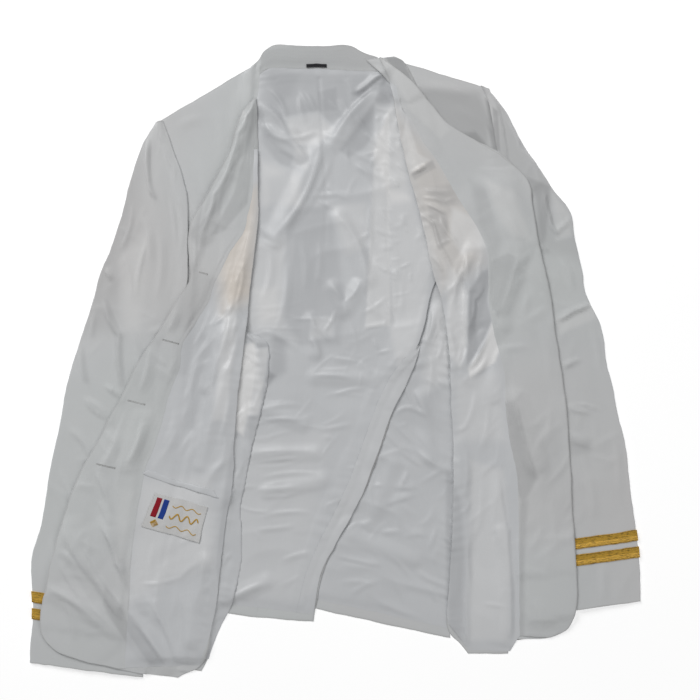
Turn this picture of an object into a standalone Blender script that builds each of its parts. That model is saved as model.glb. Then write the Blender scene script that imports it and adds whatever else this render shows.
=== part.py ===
"""A woman's naval service dress coat in white, laid open on its back with its sleeves beside it.

The frame is in metres with +Z up and the table at z = 0. +Y points to the collar and +X to the
wearer's left. The tables below are in millimetres. Each panel is a wall of cloth laid on the
panels under it, from the table up, so the order in build() is the order of the layers.
"""

import bpy
import bmesh
import numpy as np

MM = 0.001

# Walls
SHELL_CLOTH = 1.5
LINING_CLOTH = 1.2
COLLAR_CLOTH = 2.0
BRAID = 1.2
LABEL_CLOTH = 1.0
CLEARANCE = 0.6

# Sleeve lace: two half-inch stripes a quarter of an inch apart, the lower one two inches up
LACE_WIDTH = 12.7
LACE_SPACE = 6.35
LACE_ABOVE_CUFF = 50.8
LACE_OVERHANG = 1.5

# Sleeves are two walls, the upper one wider and a little crowned
SLEEVE_INSET = 5.0
SLEEVE_CROWN = 2.8

# How the cloth falls
RELAX_PASSES = 9
SAG = 0.9
LIFT_PASSES = 12
RASTER = 2.0
RASTER_REACH = 2.0
TABLE_HALF = 400.0

# Outlines. Columns: left x, left y, right x, right y of each section, from neck to hem
COLLAR_UNDER = (
    (-82, 356, -80, 320),
    (-41, 362, -41, 316),
    (11, 362, 11, 316),
    (38, 353, 42, 320),
    (58, 348, 63, 323),
)
COLLAR_STAND = (
    (-89, 348, -90, 329),
    (-82, 358, -82, 335),
    (-74, 364, -76, 338),
    (-41, 364, -41, 338),
    (-6, 364, -6, 337),
    (13, 365, 13, 336),
    (35, 356, 35, 335),
    (49, 351, 56, 334),
)
COLLAR_END_RIGHT = (
    (-102, 336, -89, 348),
    (-112, 328, -91, 334),
    (-114, 313, -92, 316),
    (-114, 297, -94, 301),
)
COLLAR_END_LEFT = (
    (35, 348, 68, 352),
    (52, 332, 79, 346),
    (65, 318, 87, 332),
    (78, 305, 95, 316),
)
BACK_RIGHT = (
    (-97, 339, -18, 336),
    (-152, 303, -17, 308),
    (-198, 275, -16, 273),
    (-188, 242, -14, 232),
    (-173, 186, -12, 186),
    (-170, 117, -10, 128),
    (-173, 36, -18, 25),
    (-178, -91, -41, -91),
    (-184, -206, -69, -206),
    (-189, -282, -92, -296),
)
BACK_LEFT = (
    (-18, 336, 65, 336),
    (-17, 308, 121, 313),
    (-16, 273, 175, 293),
    (-14, 232, 183, 244),
    (-12, 186, 169, 186),
    (-10, 128, 131, 128),
    (-13, 82, 112, 86),
    (-18, 25, 97, 25),
    (-29, -33, 75, -33),
    (-41, -91, 55, -91),
    (-54, -149, 34, -149),
    (-69, -206, 4, -204),
    (-79, -253, -15, -246),
    (-92, -296, -25, -301),
)
BACK_LINING = (
    (-85, 335, 54, 334),
    (-110, 302, 87, 302),
    (-119, 244, 103, 244),
    (-119, 163, 121, 186),
    (-119, 94, 129, 128),
    (-122, 36, 108, 80),
    (-128, -10, 92, 19),
    (-134, -45, 63, -18),
    (-139, -79, 40, -68),
    (-141, -114, 26, -108),
    (-143, -160, 8, -154),
    (-146, -206, -18, -206),
    (-148, -241, -34, -243),
    (-149, -278, -46, -290),
)
VENT_FACING = (
    (93, 19, 98, 18),
    (64, -18, 86, -18),
    (41, -68, 62, -68),
    (27, -108, 48, -108),
    (9, -154, 31, -154),
    (-17, -206, 3, -206),
    (-33, -243, -16, -243),
    (-45, -290, -25, -292),
)
SIDE_LEFT = (
    (155, 180, 190, 198),
    (116, 128, 194, 140),
    (88, 71, 155, 82),
    (72, 25, 129, 36),
    (56, -16, 131, -10),
    (41, -51, 134, -51),
    (30, -85, 135, -103),
    (11, -126, 135, -149),
    (-6, -166, 134, -195),
    (-22, -206, 131, -241),
    (-36, -247, 129, -276),
    (-46, -281, 128, -319),
)
SIDE_LEFT_LINING = (
    (155, 178, 188, 194),
    (116, 126, 191, 140),
    (88, 68, 153, 81),
    (72, 25, 128, 36),
    (56, -16, 130, -10),
    (41, -51, 132, -51),
    (30, -85, 134, -103),
    (11, -126, 134, -149),
    (-6, -166, 133, -195),
    (-22, -206, 130, -241),
    (-34, -243, 128, -273),
    (-43, -271, 127, -308),
)
SIDE_RIGHT = (
    (-131, 42, -102, 35),
    (-133, 27, -78, 21),
    (-133, 11, -76, 10),
    (-134, -22, -78, -23),
    (-138, -46, -83, -47),
    (-143, -78, -91, -79),
    (-146, -103, -97, -104),
    (-148, -141, -104, -142),
    (-151, -165, -109, -166),
    (-152, -197, -108, -198),
    (-154, -223, -108, -224),
    (-158, -250, -112, -252),
    (-160, -270, -117, -271),
    (-162, -285, -122, -286),
    (-164, -297, -128, -298),
    (-169, -324, -140, -325),
    (-174, -343, -146, -344),
    (-178, -355, -154, -358),
)
FRONT_RIGHT_SIDE = (
    (-200, 279, -97, 340),
    (-191, 259, -97, 304),
    (-186, 245, -96, 279),
    (-174, 210, -95, 232),
    (-170, 186, -96, 186),
    (-169, 123, -100, 119),
    (-175, 71, -106, 67),
    (-184, 1, -112, 6),
    (-192, -79, -122, -78),
    (-197, -160, -126, -154),
    (-200, -230, -137, -224),
    (-203, -293, -147, -295),
    (-197, -334, -156, -331),
)
FRONT_RIGHT = (
    (-95, 301, -91, 304),
    (-110, 281, -90, 276),
    (-123, 240, -89, 238),
    (-138, 211, -89, 212),
    (-153, 183, -89, 183),
    (-168, 155, -90, 154),
    (-169, 119, -94, 118),
    (-168, 94, -97, 93),
    (-183, 69, -100, 67),
    (-197, 45, -102, 45),
    (-209, 26, -104, 26),
    (-230, -6, -108, -5),
    (-244, -36, -112, -36),
    (-259, -63, -114, -63),
    (-277, -99, -117, -99),
    (-292, -124, -117, -124),
    (-303, -151, -119, -151),
    (-312, -178, -125, -178),
    (-322, -210, -129, -210),
    (-329, -236, -132, -236),
    (-333, -260, -134, -260),
    (-338, -279, -137, -279),
    (-340, -297, -140, -297),
    (-340, -310, -143, -310),
    (-334, -323, -145, -324),
    (-322, -334, -148, -338),
    (-285, -347, -156, -352),
    (-223, -361, -182, -365),
)
FACING_RIGHT = (
    (-95, 301, -91, 303),
    (-110, 281, -92, 275),
    (-123, 240, -93, 235),
    (-138, 211, -95, 195),
    (-153, 183, -100, 169),
    (-168, 155, -106, 148),
    (-169, 119, -122, 123),
    (-168, 94, -137, 93),
    (-183, 69, -145, 70),
    (-197, 45, -159, 46),
    (-209, 26, -174, 22),
    (-230, -6, -179, -9),
    (-244, -36, -190, -36),
    (-259, -63, -197, -63),
    (-277, -99, -208, -99),
    (-292, -124, -218, -124),
    (-303, -151, -223, -151),
    (-312, -178, -228, -178),
    (-322, -210, -233, -210),
    (-329, -236, -235, -236),
    (-333, -260, -236, -260),
    (-338, -279, -237, -279),
    (-340, -297, -238, -297),
    (-340, -310, -239, -310),
    (-334, -323, -240, -324),
    (-322, -334, -241, -338),
    (-285, -347, -241, -352),
)
LINING_RIGHT = (
    (-92, 244, -89, 244),
    (-95, 195, -89, 195),
    (-99, 169, -89, 169),
    (-105, 148, -91, 145),
    (-121, 122, -94, 119),
    (-136, 92, -97, 93),
    (-144, 69, -100, 67),
    (-158, 46, -102, 45),
    (-173, 22, -105, 21),
    (-178, -9, -108, -9),
    (-189, -36, -112, -36),
    (-196, -63, -114, -63),
    (-207, -99, -117, -99),
    (-216, -124, -117, -124),
    (-222, -151, -119, -151),
    (-227, -178, -125, -178),
    (-231, -210, -129, -210),
    (-234, -236, -132, -236),
    (-236, -279, -137, -279),
    (-238, -310, -143, -310),
    (-240, -345, -154, -342),
)
FRONT_LEFT_SIDE = (
    (69, 348, 170, 317),
    (75, 325, 176, 296),
    (82, 296, 179, 280),
    (90, 265, 183, 261),
    (98, 232, 185, 244),
    (109, 186, 189, 198),
    (119, 140, 191, 146),
    (128, 94, 192, 94),
    (132, 52, 190, 48),
)
FRONT_LEFT = (
    (50, 350, 52, 351),
    (61, 327, 84, 327),
    (67, 302, 109, 297),
    (73, 267, 143, 264),
    (78, 244, 182, 245),
    (84, 217, 213, 218),
    (90, 198, 225, 198),
    (97, 172, 228, 175),
    (102, 152, 232, 152),
    (107, 125, 237, 125),
    (112, 105, 243, 103),
    (122, 71, 250, 68),
    (128, 36, 253, 36),
    (132, -4, 259, -4),
    (134, -51, 266, -51),
    (136, -103, 269, -103),
    (136, -160, 273, -160),
    (134, -218, 277, -218),
    (131, -264, 278, -264),
    (129, -290, 278, -285),
    (129, -306, 267, -310),
    (134, -317, 248, -319),
    (142, -324, 225, -321),
    (147, -330, 205, -322),
    (153, -338, 199, -338),
)
FACING_LEFT = (
    (52, 349, 53, 350),
    (68, 320, 88, 323),
    (76, 293, 114, 293),
    (88, 277, 129, 275),
    (102, 250, 165, 253),
    (113, 236, 190, 237),
    (132, 204, 224, 204),
    (147, 178, 228, 175),
    (160, 159, 231, 157),
    (172, 134, 235, 134),
    (176, 100, 243, 100),
    (177, 65, 250, 65),
    (182, 36, 253, 36),
    (190, 6, 258, 6),
    (195, -22, 262, -22),
    (196, -51, 266, -51),
    (202, -97, 269, -97),
    (208, -126, 271, -126),
    (211, -183, 274, -183),
    (212, -230, 277, -230),
    (212, -276, 278, -279),
    (212, -299, 274, -298),
    (212, -309, 267, -310),
    (212, -318, 248, -319),
)
LINING_LEFT = (
    (62, 323, 67, 319),
    (68, 299, 75, 292),
    (73, 267, 87, 277),
    (78, 244, 101, 249),
    (84, 217, 123, 217),
    (90, 198, 135, 198),
    (97, 172, 150, 172),
    (102, 152, 162, 153),
    (107, 125, 171, 132),
    (112, 105, 175, 102),
    (122, 71, 176, 71),
    (128, 36, 181, 36),
    (132, -4, 191, 1),
    (134, -51, 195, -51),
    (136, -103, 201, -99),
    (136, -160, 208, -149),
    (134, -218, 210, -218),
    (131, -264, 211, -264),
    (129, -290, 211, -290),
    (131, -302, 210, -310),
    (139, -313, 199, -318),
)
SLEEVE_RIGHT = (
    (-207, 276, -199, 278),
    (-218, 259, -192, 259),
    (-226, 243, -187, 244),
    (-235, 214, -176, 213),
    (-241, 193, -171, 191),
    (-248, 164, -170, 161),
    (-261, 126, -170, 122),
    (-271, 103, -170, 94),
    (-279, 74, -173, 65),
    (-295, 23, -178, 16),
    (-311, -31, -184, -40),
    (-317, -67, -188, -77),
    (-329, -121, -195, -133),
    (-334, -154, -198, -167),
    (-341, -193, -203, -208),
    (-350, -224, -206, -239),
    (-351, -255, -210, -269),
    (-349, -276, -212, -291),
    (-349, -297, -214, -312),
    (-352, -322, -218, -337),
    (-353, -348, -222, -365),
)
SLEEVE_LEFT = (
    (168, 318, 175, 314),
    (177, 297, 195, 291),
    (181, 276, 206, 271),
    (185, 252, 217, 250),
    (188, 223, 237, 221),
    (188, 200, 252, 198),
    (188, 172, 272, 170),
    (188, 142, 277, 139),
    (188, 108, 285, 104),
    (189, 82, 289, 80),
    (195, 36, 308, 36),
    (199, -1, 313, -1),
    (204, -33, 321, -33),
    (207, -61, 326, -61),
    (211, -91, 334, -91),
    (214, -131, 339, -131),
    (217, -160, 342, -160),
    (220, -195, 347, -194),
    (222, -230, 351, -227),
    (225, -294, 353, -277),
)
POCKET_WELT = (
    (-215, -125, -222, -129),
    (-191, -135, -206, -136),
    (-166, -142, -177, -145),
    (-141, -147, -134, -157),
)
LABEL = (
    (-208, -151, -147, -167),
    (-224, -190, -156, -209),
)
NECK_TAG = (
    (-33, 343, -10, 343),
    (-33, 339, -10, 339),
)

# Folds. Columns: start x, start y, end x, end y, height, half width
BACK_FOLDS = (
    (-89, 300, -54, 258, 5, 16),
    (-74, 268, -35, 234, 6, 14),
    (-17, 247, -68, 145, 7, 18),
    (47, 305, -5, 251, 6, 16),
    (4, 166, 37, 96, 6, 16),
    (-2, 84, 10, 58, 6, 14),
    (28, 88, 10, 58, 6, 14),
    (-28, 48, -24, 10, 5, 13),
    (-24, -18, 42, -20, 4, 14),
    (-84, -54, -38, -72, 4, 14),
    (-92, -106, -24, -106, 4, 13),
    (-78, -150, -12, -136, 4, 14),
    (-118, -272, -80, -254, 4, 14),
)
FRONT_RIGHT_FOLDS = (
    (-95, 292, -117, 250, 6, 14),
    (-119, 244, -142, 190, 6, 14),
    (-142, 190, -154, 148, 6, 14),
    (-222, -68, -240, -118, 4, 14),
    (-302, -194, -249, -282, 5, 18),
    (-254, -282, -196, -350, 5, 18),
    (-262, -192, -226, -280, 4, 16),
    (-330, -262, -276, -292, 4, 14),
)
LINING_RIGHT_FOLDS = (
    (-92, 160, -122, 60, 5, 12),
    (-112, 60, -150, -30, 4, 12),
    (-124, -10, -156, -120, 4, 12),
    (-150, -230, -166, -320, 4, 14),
)
FRONT_LEFT_FOLDS = (
    (196, 206, 220, 140, 4, 18),
    (209, 125, 183, 48, 6, 16),
    (188, 44, 152, -18, 6, 16),
    (170, 126, 160, 88, 5, 12),
    (158, 127, 126, 78, 5, 12),
    (190, 5, 186, -36, 5, 14),
    (208, -44, 232, -116, 5, 16),
    (152, -226, 160, -330, 9, 15),
    (192, -236, 190, -330, 12, 18),
    (142, -120, 150, -210, 4, 14),
)
SIDE_LEFT_FOLDS = (
    (118, 60, 96, 0, 4, 12),
    (100, -40, 108, -110, 4, 14),
    (66, -120, 40, -190, 4, 14),
    (20, -200, 90, -230, 4, 14),
)
SLEEVE_RIGHT_FOLDS = (
    (-216, 256, -213, 190, 5, 12),
    (-266, 104, -250, 58, 5, 14),
    (-252, 30, -246, -30, 5, 14),
    (-294, 14, -287, -26, 4, 12),
    (-264, -28, -246, -40, 4, 12),
    (-290, -42, -262, -66, 4, 12),
    (-330, -160, -290, -210, 4, 16),
)
SLEEVE_LEFT_FOLDS = (
    (243, 192, 254, 150, 5, 14),
    (256, 150, 272, 164, 4, 12),
    (254, 46, 294, 66, 5, 14),
    (261, -8, 284, 2, 4, 12),
    (267, -49, 294, -57, 4, 12),
    (300, -110, 330, -150, 4, 16),
)


def smooth_through(places, values, wanted):
    """A curve through the values that never swings wider than its stations."""
    slopes = np.gradient(values, places)
    found = np.clip(np.searchsorted(places, wanted) - 1, 0, len(places) - 2)
    width = places[found + 1] - places[found]
    t = (wanted - places[found]) / width
    start, end = values[found], values[found + 1]
    rise, fall = slopes[found] * width, slopes[found + 1] * width
    return (
        (2 * t**3 - 3 * t**2 + 1) * start
        + (t**3 - 2 * t**2 + t) * rise
        + (3 * t**2 - 2 * t**3) * end
        + (t**3 - t**2) * fall
    )


def panel_points(sections, across, between):
    """Points of a panel, row by row. Its edges run smoothly through the sections."""
    sections = np.array(sections, float)
    steps = np.abs(np.diff(sections, axis=0)).sum(axis=1)
    places = np.concatenate([[0.0], np.cumsum(steps)])
    rows = np.interp(
        np.arange((len(places) - 1) * between + 1) / between, np.arange(len(places)), places
    )
    edges = np.stack([smooth_through(places, column, rows) for column in sections.T], axis=1)
    share = np.linspace(0, 1, across + 1)[None, :, None]
    return edges[:, None, :2] * (1 - share) + edges[:, None, 2:] * share


def inset(sections, amount):
    """The same sections with both edges drawn in."""
    sections = np.array(sections, float)
    inward = sections[:, 2:] - sections[:, :2]
    inward *= amount / np.linalg.norm(inward, axis=1, keepdims=True)
    return np.hstack([sections[:, :2] + inward, sections[:, 2:] - inward])


def band_above_cuff(sections, low, high):
    """The sections of a stripe round a sleeve, between two distances up from its cuff."""
    sections = np.array(sections, float)[::-1]
    columns = []
    for x, y in ((0, 1), (2, 3)):
        steps = np.hypot(np.diff(sections[:, x]), np.diff(sections[:, y]))
        up = np.concatenate([[0.0], np.cumsum(steps)])
        columns += [np.interp([high, low], up, sections[:, c]) for c in (x, y)]
    return inset(np.stack(columns, axis=1), -LACE_OVERHANG)


def fold_lift(points, folds):
    """How far soft ridges raise the points. A ridge fades towards both of its ends."""
    lift = np.zeros(points.shape[:2])
    for x0, y0, x1, y1, height, half_width in folds:
        start, run = np.array([x0, y0]), np.array([x1 - x0, y1 - y0])
        along = ((points - start) @ run) / (run @ run)
        off = np.linalg.norm(points - start - np.clip(along, 0, 1)[..., None] * run, axis=-1)
        across = np.clip(1 - off / half_width, 0, 1)
        lift = np.maximum(lift, height * across**2 * (3 - 2 * across))
    return lift


class Layers:
    """The height of whatever lies highest over each place on the table."""

    def __init__(self):
        self.side = int(2 * TABLE_HALF / RASTER) + 1
        self.top = np.full((self.side, self.side), -CLEARANCE)

    def samples(self, points, corners):
        """For each raster place in or just beside a triangle: triangle, weights and place."""
        found = []
        for index, corner in enumerate(corners):
            a, b, c = points[corner]
            low = np.floor((np.minimum(np.minimum(a, b), c) - RASTER_REACH + TABLE_HALF) / RASTER)
            high = np.ceil((np.maximum(np.maximum(a, b), c) + RASTER_REACH + TABLE_HALF) / RASTER)
            i, j = np.mgrid[int(low[0]) : int(high[0]) + 1, int(low[1]) : int(high[1]) + 1]
            i, j = i.ravel(), j.ravel()
            place = np.stack([i, j], axis=1) * RASTER - TABLE_HALF
            double = (b[0] - a[0]) * (c[1] - a[1]) - (c[0] - a[0]) * (b[1] - a[1])
            if abs(double) < 1e-6:
                continue
            weights = np.stack(
                [
                    (p[0] - place[:, 0]) * (q[1] - place[:, 1])
                    - (q[0] - place[:, 0]) * (p[1] - place[:, 1])
                    for p, q in ((b, c), (c, a), (a, b))
                ],
                axis=1,
            )
            sides = np.array([np.linalg.norm(c - b), np.linalg.norm(a - c), np.linalg.norm(b - a)])
            weights *= np.sign(double)
            inside = (weights >= -RASTER_REACH * sides).all(axis=1)
            weights = weights[inside] / abs(double)
            found.append((np.full(len(weights), index), weights, i[inside], j[inside]))
        return [np.concatenate(parts) for parts in zip(*found)]

    def rest(self, points, corners, shape):
        """Heights at which a limp sheet rests on what is there, clear of it all over."""
        triangle, weights, i, j = self.samples(points, corners)
        corner_of = corners[triangle]
        weights = np.clip(weights, 0, None)
        weights /= weights.sum(axis=1, keepdims=True)
        needed = self.top[i, j] + CLEARANCE
        spread = (weights**2).sum(axis=1)
        beside = np.rint((points + TABLE_HALF) / RASTER).astype(int)
        heights = self.top[beside[:, 0], beside[:, 1]] + CLEARANCE
        for relaxing in range(RELAX_PASSES + 1):
            for _ in range(LIFT_PASSES):
                short = np.clip(needed - (heights[corner_of] * weights).sum(axis=1), 0, None)
                share = np.minimum(weights / spread[:, None], 1)
                lift = np.zeros(len(points))
                np.maximum.at(lift, corner_of.ravel(), (short[:, None] * share).ravel())
                heights = heights + lift
            if relaxing < RELAX_PASSES:
                heights = relaxed(heights.reshape(shape)).ravel() - SAG
        short = np.clip(needed - (heights[corner_of] * weights).sum(axis=1), 0, None)
        lift = np.zeros(len(points))
        for column in range(3):
            np.maximum.at(lift, corner_of[:, column], short)
        return heights + lift

    def cover(self, points, corners, heights):
        """Raises the layers to the top of a sheet that now lies on them."""
        triangle, weights, i, j = self.samples(points, corners)
        weights = np.clip(weights, 0, None)
        weights /= weights.sum(axis=1, keepdims=True)
        np.maximum.at(self.top, (i, j), (heights[corners[triangle]] * weights).sum(axis=1))


def relaxed(heights):
    """Each height moved half way to the mean of its neighbours, as cloth evens itself out."""
    wide = np.pad(heights, 1, mode="edge")
    mean = (wide[:-2, 1:-1] + wide[2:, 1:-1] + wide[1:-1, :-2] + wide[1:-1, 2:]) / 4
    return (heights + mean) / 2


def material(name, colour, roughness, metallic=0.0):
    made = bpy.data.materials.new(name)
    made.use_nodes = True
    shader = made.node_tree.nodes["Principled BSDF"]
    shader.inputs["Base Color"].default_value = (*colour, 1.0)
    shader.inputs["Roughness"].default_value = roughness
    shader.inputs["Metallic"].default_value = metallic
    made.diffuse_color = (*colour, 1.0)
    return made


def sheet_mesh(shape):
    """A flat grid of triangles with one vertex for each point of a panel."""
    rows, columns = shape
    mesh = bmesh.new()
    bmesh.ops.create_grid(mesh, x_segments=columns - 1, y_segments=rows - 1, size=0.5)
    bmesh.ops.triangulate(mesh, faces=mesh.faces, quad_method="FIXED")
    return mesh


def lay(layers, collection, name, sections, cloth, wall, across, between=1, folds=(), crown=0.0):
    """Lays one panel on the layers so far, as a closed wall of cloth in an object of its own."""
    points = panel_points(sections, across, between)
    shape = points.shape[:2]
    mesh = sheet_mesh(shape)
    # The grid's vertices run along x, then along y
    order = sorted(mesh.verts, key=lambda v: (round(-v.co.y, 6), round(v.co.x, 6)))
    number = {vertex: index for index, vertex in enumerate(order)}
    corners = np.array([[number[v] for v in face.verts] for face in mesh.faces])
    flat = points.reshape(-1, 2)
    lift = fold_lift(points, folds)
    share = np.linspace(-1, 1, shape[1])[None, :]
    lift = (lift + crown * (1 - share**2)).ravel()
    under = layers.rest(flat, corners, shape) + lift
    layers.cover(flat, corners, under + wall)
    for vertex, (x, y), height in zip(order, flat, under):
        vertex.co = (x * MM, y * MM, height * MM)
    upper = bmesh.ops.extrude_face_region(mesh, geom=mesh.faces[:])
    raised = [item for item in upper["geom"] if isinstance(item, bmesh.types.BMVert)]
    bmesh.ops.translate(mesh, verts=raised, vec=(0, 0, wall * MM))
    bmesh.ops.recalc_face_normals(mesh, faces=mesh.faces)
    data = bpy.data.meshes.new(name)
    mesh.to_mesh(data)
    mesh.free()
    data.materials.append(cloth)
    panel = bpy.data.objects.new(name, data)
    collection.objects.link(panel)
    return panel


def clear_scene():
    for item in list(bpy.data.objects):
        bpy.data.objects.remove(item, do_unlink=True)


def build():
    clear_scene()
    jacket = bpy.data.collections.new("naval_service_dress_jacket")
    bpy.context.scene.collection.children.link(jacket)
    twill = material("white_twill", (0.78, 0.78, 0.77), 0.85)
    satin = material("white_satin_lining", (0.80, 0.80, 0.80), 0.45)
    gold = material("gold_braid", (0.83, 0.58, 0.12), 0.4, 0.6)
    woven = material("woven_label", (0.86, 0.85, 0.83), 0.6)
    black = material("black_tape", (0.02, 0.02, 0.03), 0.7)
    layers = Layers()

    def panel(name, sections, cloth, wall, across, **how):
        lay(layers, jacket, name, sections, cloth, wall, across, **how)

    def sleeve(side, sections, folds):
        lower = inset(sections, SLEEVE_INSET)
        panel("under_sleeve_" + side, lower, twill, SHELL_CLOTH, 3)
        panel("top_sleeve_" + side, sections, twill, SHELL_CLOTH, 7, folds=folds, crown=SLEEVE_CROWN)
        for place, low in (
            ("lower", LACE_ABOVE_CUFF),
            ("upper", LACE_ABOVE_CUFF + LACE_WIDTH + LACE_SPACE),
        ):
            stripe = band_above_cuff(sections, low, low + LACE_WIDTH)
            panel(f"sleeve_lace_{place}_{side}", stripe, gold, BRAID, 9)

    panel("collar_under", COLLAR_UNDER, twill, COLLAR_CLOTH, 2, between=2)
    panel("side_left_shell", SIDE_LEFT, twill, SHELL_CLOTH, 4)
    panel("side_left_lining", SIDE_LEFT_LINING, satin, LINING_CLOTH, 8, folds=SIDE_LEFT_FOLDS, between=2)
    panel("back_right_shell", BACK_RIGHT, twill, SHELL_CLOTH, 5)
    panel("back_left_shell", BACK_LEFT, twill, SHELL_CLOTH, 6)
    panel("back_vent_facing", VENT_FACING, twill, LINING_CLOTH, 2, between=2)
    panel("back_lining", BACK_LINING, satin, LINING_CLOTH, 14, between=2, folds=BACK_FOLDS)
    panel("collar_stand", COLLAR_STAND, twill, SHELL_CLOTH, 2, between=2)
    panel("front_right_side", FRONT_RIGHT_SIDE, twill, SHELL_CLOTH, 5)
    panel("front_left_side", FRONT_LEFT_SIDE, twill, SHELL_CLOTH, 6)
    sleeve("right", SLEEVE_RIGHT, SLEEVE_RIGHT_FOLDS)
    sleeve("left", SLEEVE_LEFT, SLEEVE_LEFT_FOLDS)
    panel("collar_end_right", COLLAR_END_RIGHT, twill, COLLAR_CLOTH, 2)
    panel("collar_end_left", COLLAR_END_LEFT, twill, COLLAR_CLOTH, 2)
    panel("side_right_shell", inset(SIDE_RIGHT, 1.0), twill, SHELL_CLOTH, 3)
    panel("side_right_lining", SIDE_RIGHT[:-1], satin, LINING_CLOTH, 4)
    panel("front_right_shell", FRONT_RIGHT, twill, SHELL_CLOTH, 7, folds=FRONT_RIGHT_FOLDS)
    panel("front_left_shell", FRONT_LEFT, twill, SHELL_CLOTH, 7, folds=FRONT_LEFT_FOLDS)
    panel("front_right_facing", FACING_RIGHT, twill, LINING_CLOTH, 6)
    panel("front_left_facing", FACING_LEFT, twill, LINING_CLOTH, 5)
    panel("front_right_lining", LINING_RIGHT, satin, LINING_CLOTH, 7, folds=LINING_RIGHT_FOLDS)
    panel("front_left_lining", LINING_LEFT, satin, LINING_CLOTH, 6)
    panel("inner_pocket_welt", POCKET_WELT, satin, LINING_CLOTH, 2, between=2)
    panel("inner_label", LABEL, woven, LABEL_CLOTH, 5, between=4)
    panel("neck_tag", NECK_TAG, black, LABEL_CLOTH, 3)


build()
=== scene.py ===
"""The looks of a woman's white naval service dress coat, laid open on its back on a pale table.

Each panel of the model is laid again here as a fine sheet of cloth, from the table up, on the
panels under it. The tables are in millimetres in the model's own frame: +Z up, +Y to the collar
and +X to the wearer's left. The sewing, lace, label and weave are added to those sheets.
"""

import bpy
import numpy as np
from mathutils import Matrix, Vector


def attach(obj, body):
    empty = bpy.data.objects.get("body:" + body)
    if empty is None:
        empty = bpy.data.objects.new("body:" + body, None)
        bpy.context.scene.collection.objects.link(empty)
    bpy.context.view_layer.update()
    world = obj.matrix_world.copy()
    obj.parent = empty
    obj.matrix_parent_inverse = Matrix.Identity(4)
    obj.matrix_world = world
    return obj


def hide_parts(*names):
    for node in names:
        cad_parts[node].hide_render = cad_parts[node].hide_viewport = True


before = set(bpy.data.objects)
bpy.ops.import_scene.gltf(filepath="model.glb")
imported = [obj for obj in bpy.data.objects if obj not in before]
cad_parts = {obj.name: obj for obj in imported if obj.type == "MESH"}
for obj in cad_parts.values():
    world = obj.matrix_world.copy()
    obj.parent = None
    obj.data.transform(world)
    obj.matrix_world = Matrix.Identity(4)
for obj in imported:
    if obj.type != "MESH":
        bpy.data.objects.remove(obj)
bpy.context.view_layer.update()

MM = 0.001
BODY = "root"

# Cloth thicknesses
SHELL_CLOTH = 0.9
LINING_CLOTH = 0.5
COLLAR_CLOTH = 1.6
BRAID = 0.8
LABEL_CLOTH = 0.5
TAPE = 0.6

# The gap between a sheet and the pile under it
CLEARANCE = 0.15

# A sewn edge comes down over a taper to a step above what it lies on. Where its sewing starts
# below the panel's top, it sets in over a run
SEAM_TAPER = 12.0
SEAM_STEP = 0.1
SEAM_RUN = 60.0

# A thin side tapers over a distance to a share of its thickness
THINNED = 26.0
LEAST_WALL = 0.12

# How far edges wander, and how far in from an edge the extra rows of points lie
EDGE_DRIFT = 0.9
EDGE_ROWS = np.array([0.35, 0.9, 1.8])

# The number of squares after which a noise repeats
NOISE_SQUARES = 97

# The cell of a sleeve's mesh, how far its middle rises and how far apart its walls are
SLEEVE_CELL = 3.05
SLEEVE_CROWN = 2.6
SLEEVE_HOLLOW = 0.5

# How sharp a lining's creases are and those of a facing, from 0 to 1
LINING_CRISPNESS = 0.95
FACING_CRISPNESS = 0.8

# The least that a sheet's area is given as, as a share of its width times its length
LEAST_AREA = 0.301

# Sleeve lace: two half-inch stripes a quarter of an inch apart, the lower one two inches up
LACE_WIDTH = 12.7
LACE_SPACE = 6.35
LACE_ABOVE_CUFF = 50.8
LACE_OVERHANG = 0.9

# A crease has a long slope and a short one, as shares of its half width. Where two meet, the
# lower one adds a share of its height
LONG_SHARE = 1.35
SHORT_SHARE = 0.55
OVERLAP = 0.35
SHORT_SLOPE = np.array([-0.6, 0.8])

# How much of the model's broad folds stays in the fine cloth, which has the creases as well
FOLD_SHARE = 0.55

# The height raster on which the pile of cloth is kept, and how many of its cells round a point
# count as under it
RASTER = 1.5
TABLE_HALF = 400.0
PILE_REACH = 2

# The sides of a thread, whose caps are two quads each
THREAD_SIDES = 6

# Random relief of twill that has little of its own. Columns: height, size, seed
FIRM = ((1.1, 85.0, 11), (0.5, 34.0, 12))

# The camera looks straight down on the coat
CAMERA_CENTRE = (16.9, 13.0)
CAMERA_HEIGHT = 1910.0
CAMERA_LENS = 85.0

# Lights. Columns: name, place and width in metres, power in watts
LIGHTS = (
    ("key_light", (-1.25, 1.75, 1.95), 1.8, 37.5),
    ("fill_light", (1.6, -1.0, 2.2), 2.4, 11.0),
)
SKY_STRENGTH = 0.23
TABLE_GLOW = 0.5

# Outlines. Columns: left x, left y, right x and right y of each section, from neck to hem,
# or from shoulder to cuff
COLLAR_UNDER = (
    (-82, 356, -80, 320), (-41, 362, -41, 316), (11, 362, 11, 316), (38, 353, 42, 320),
    (58, 348, 63, 323),
)
COLLAR_STAND = (
    (-89, 348, -90, 329), (-82, 358, -82, 335), (-74, 364, -76, 338), (-41, 364, -41, 338),
    (-6, 364, -6, 337), (13, 365, 13, 336), (35, 356, 35, 335), (49, 351, 56, 334),
)
COLLAR_END_RIGHT = (
    (-102, 336, -89, 348), (-112, 328, -91, 334), (-114, 313, -92, 316), (-114, 297, -94, 301),
)
COLLAR_END_LEFT = (
    (35, 348, 68, 352), (52, 332, 79, 346), (65, 318, 87, 332), (78, 305, 95, 316),
)
BACK_RIGHT = (
    (-97, 339, -18, 336), (-152, 303, -17, 308), (-198, 275, -16, 273), (-188, 242, -14, 232),
    (-173, 186, -12, 186), (-170, 117, -10, 128), (-173, 36, -18, 25), (-178, -91, -41, -91),
    (-184, -206, -69, -206), (-189, -282, -92, -296),
)
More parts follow.
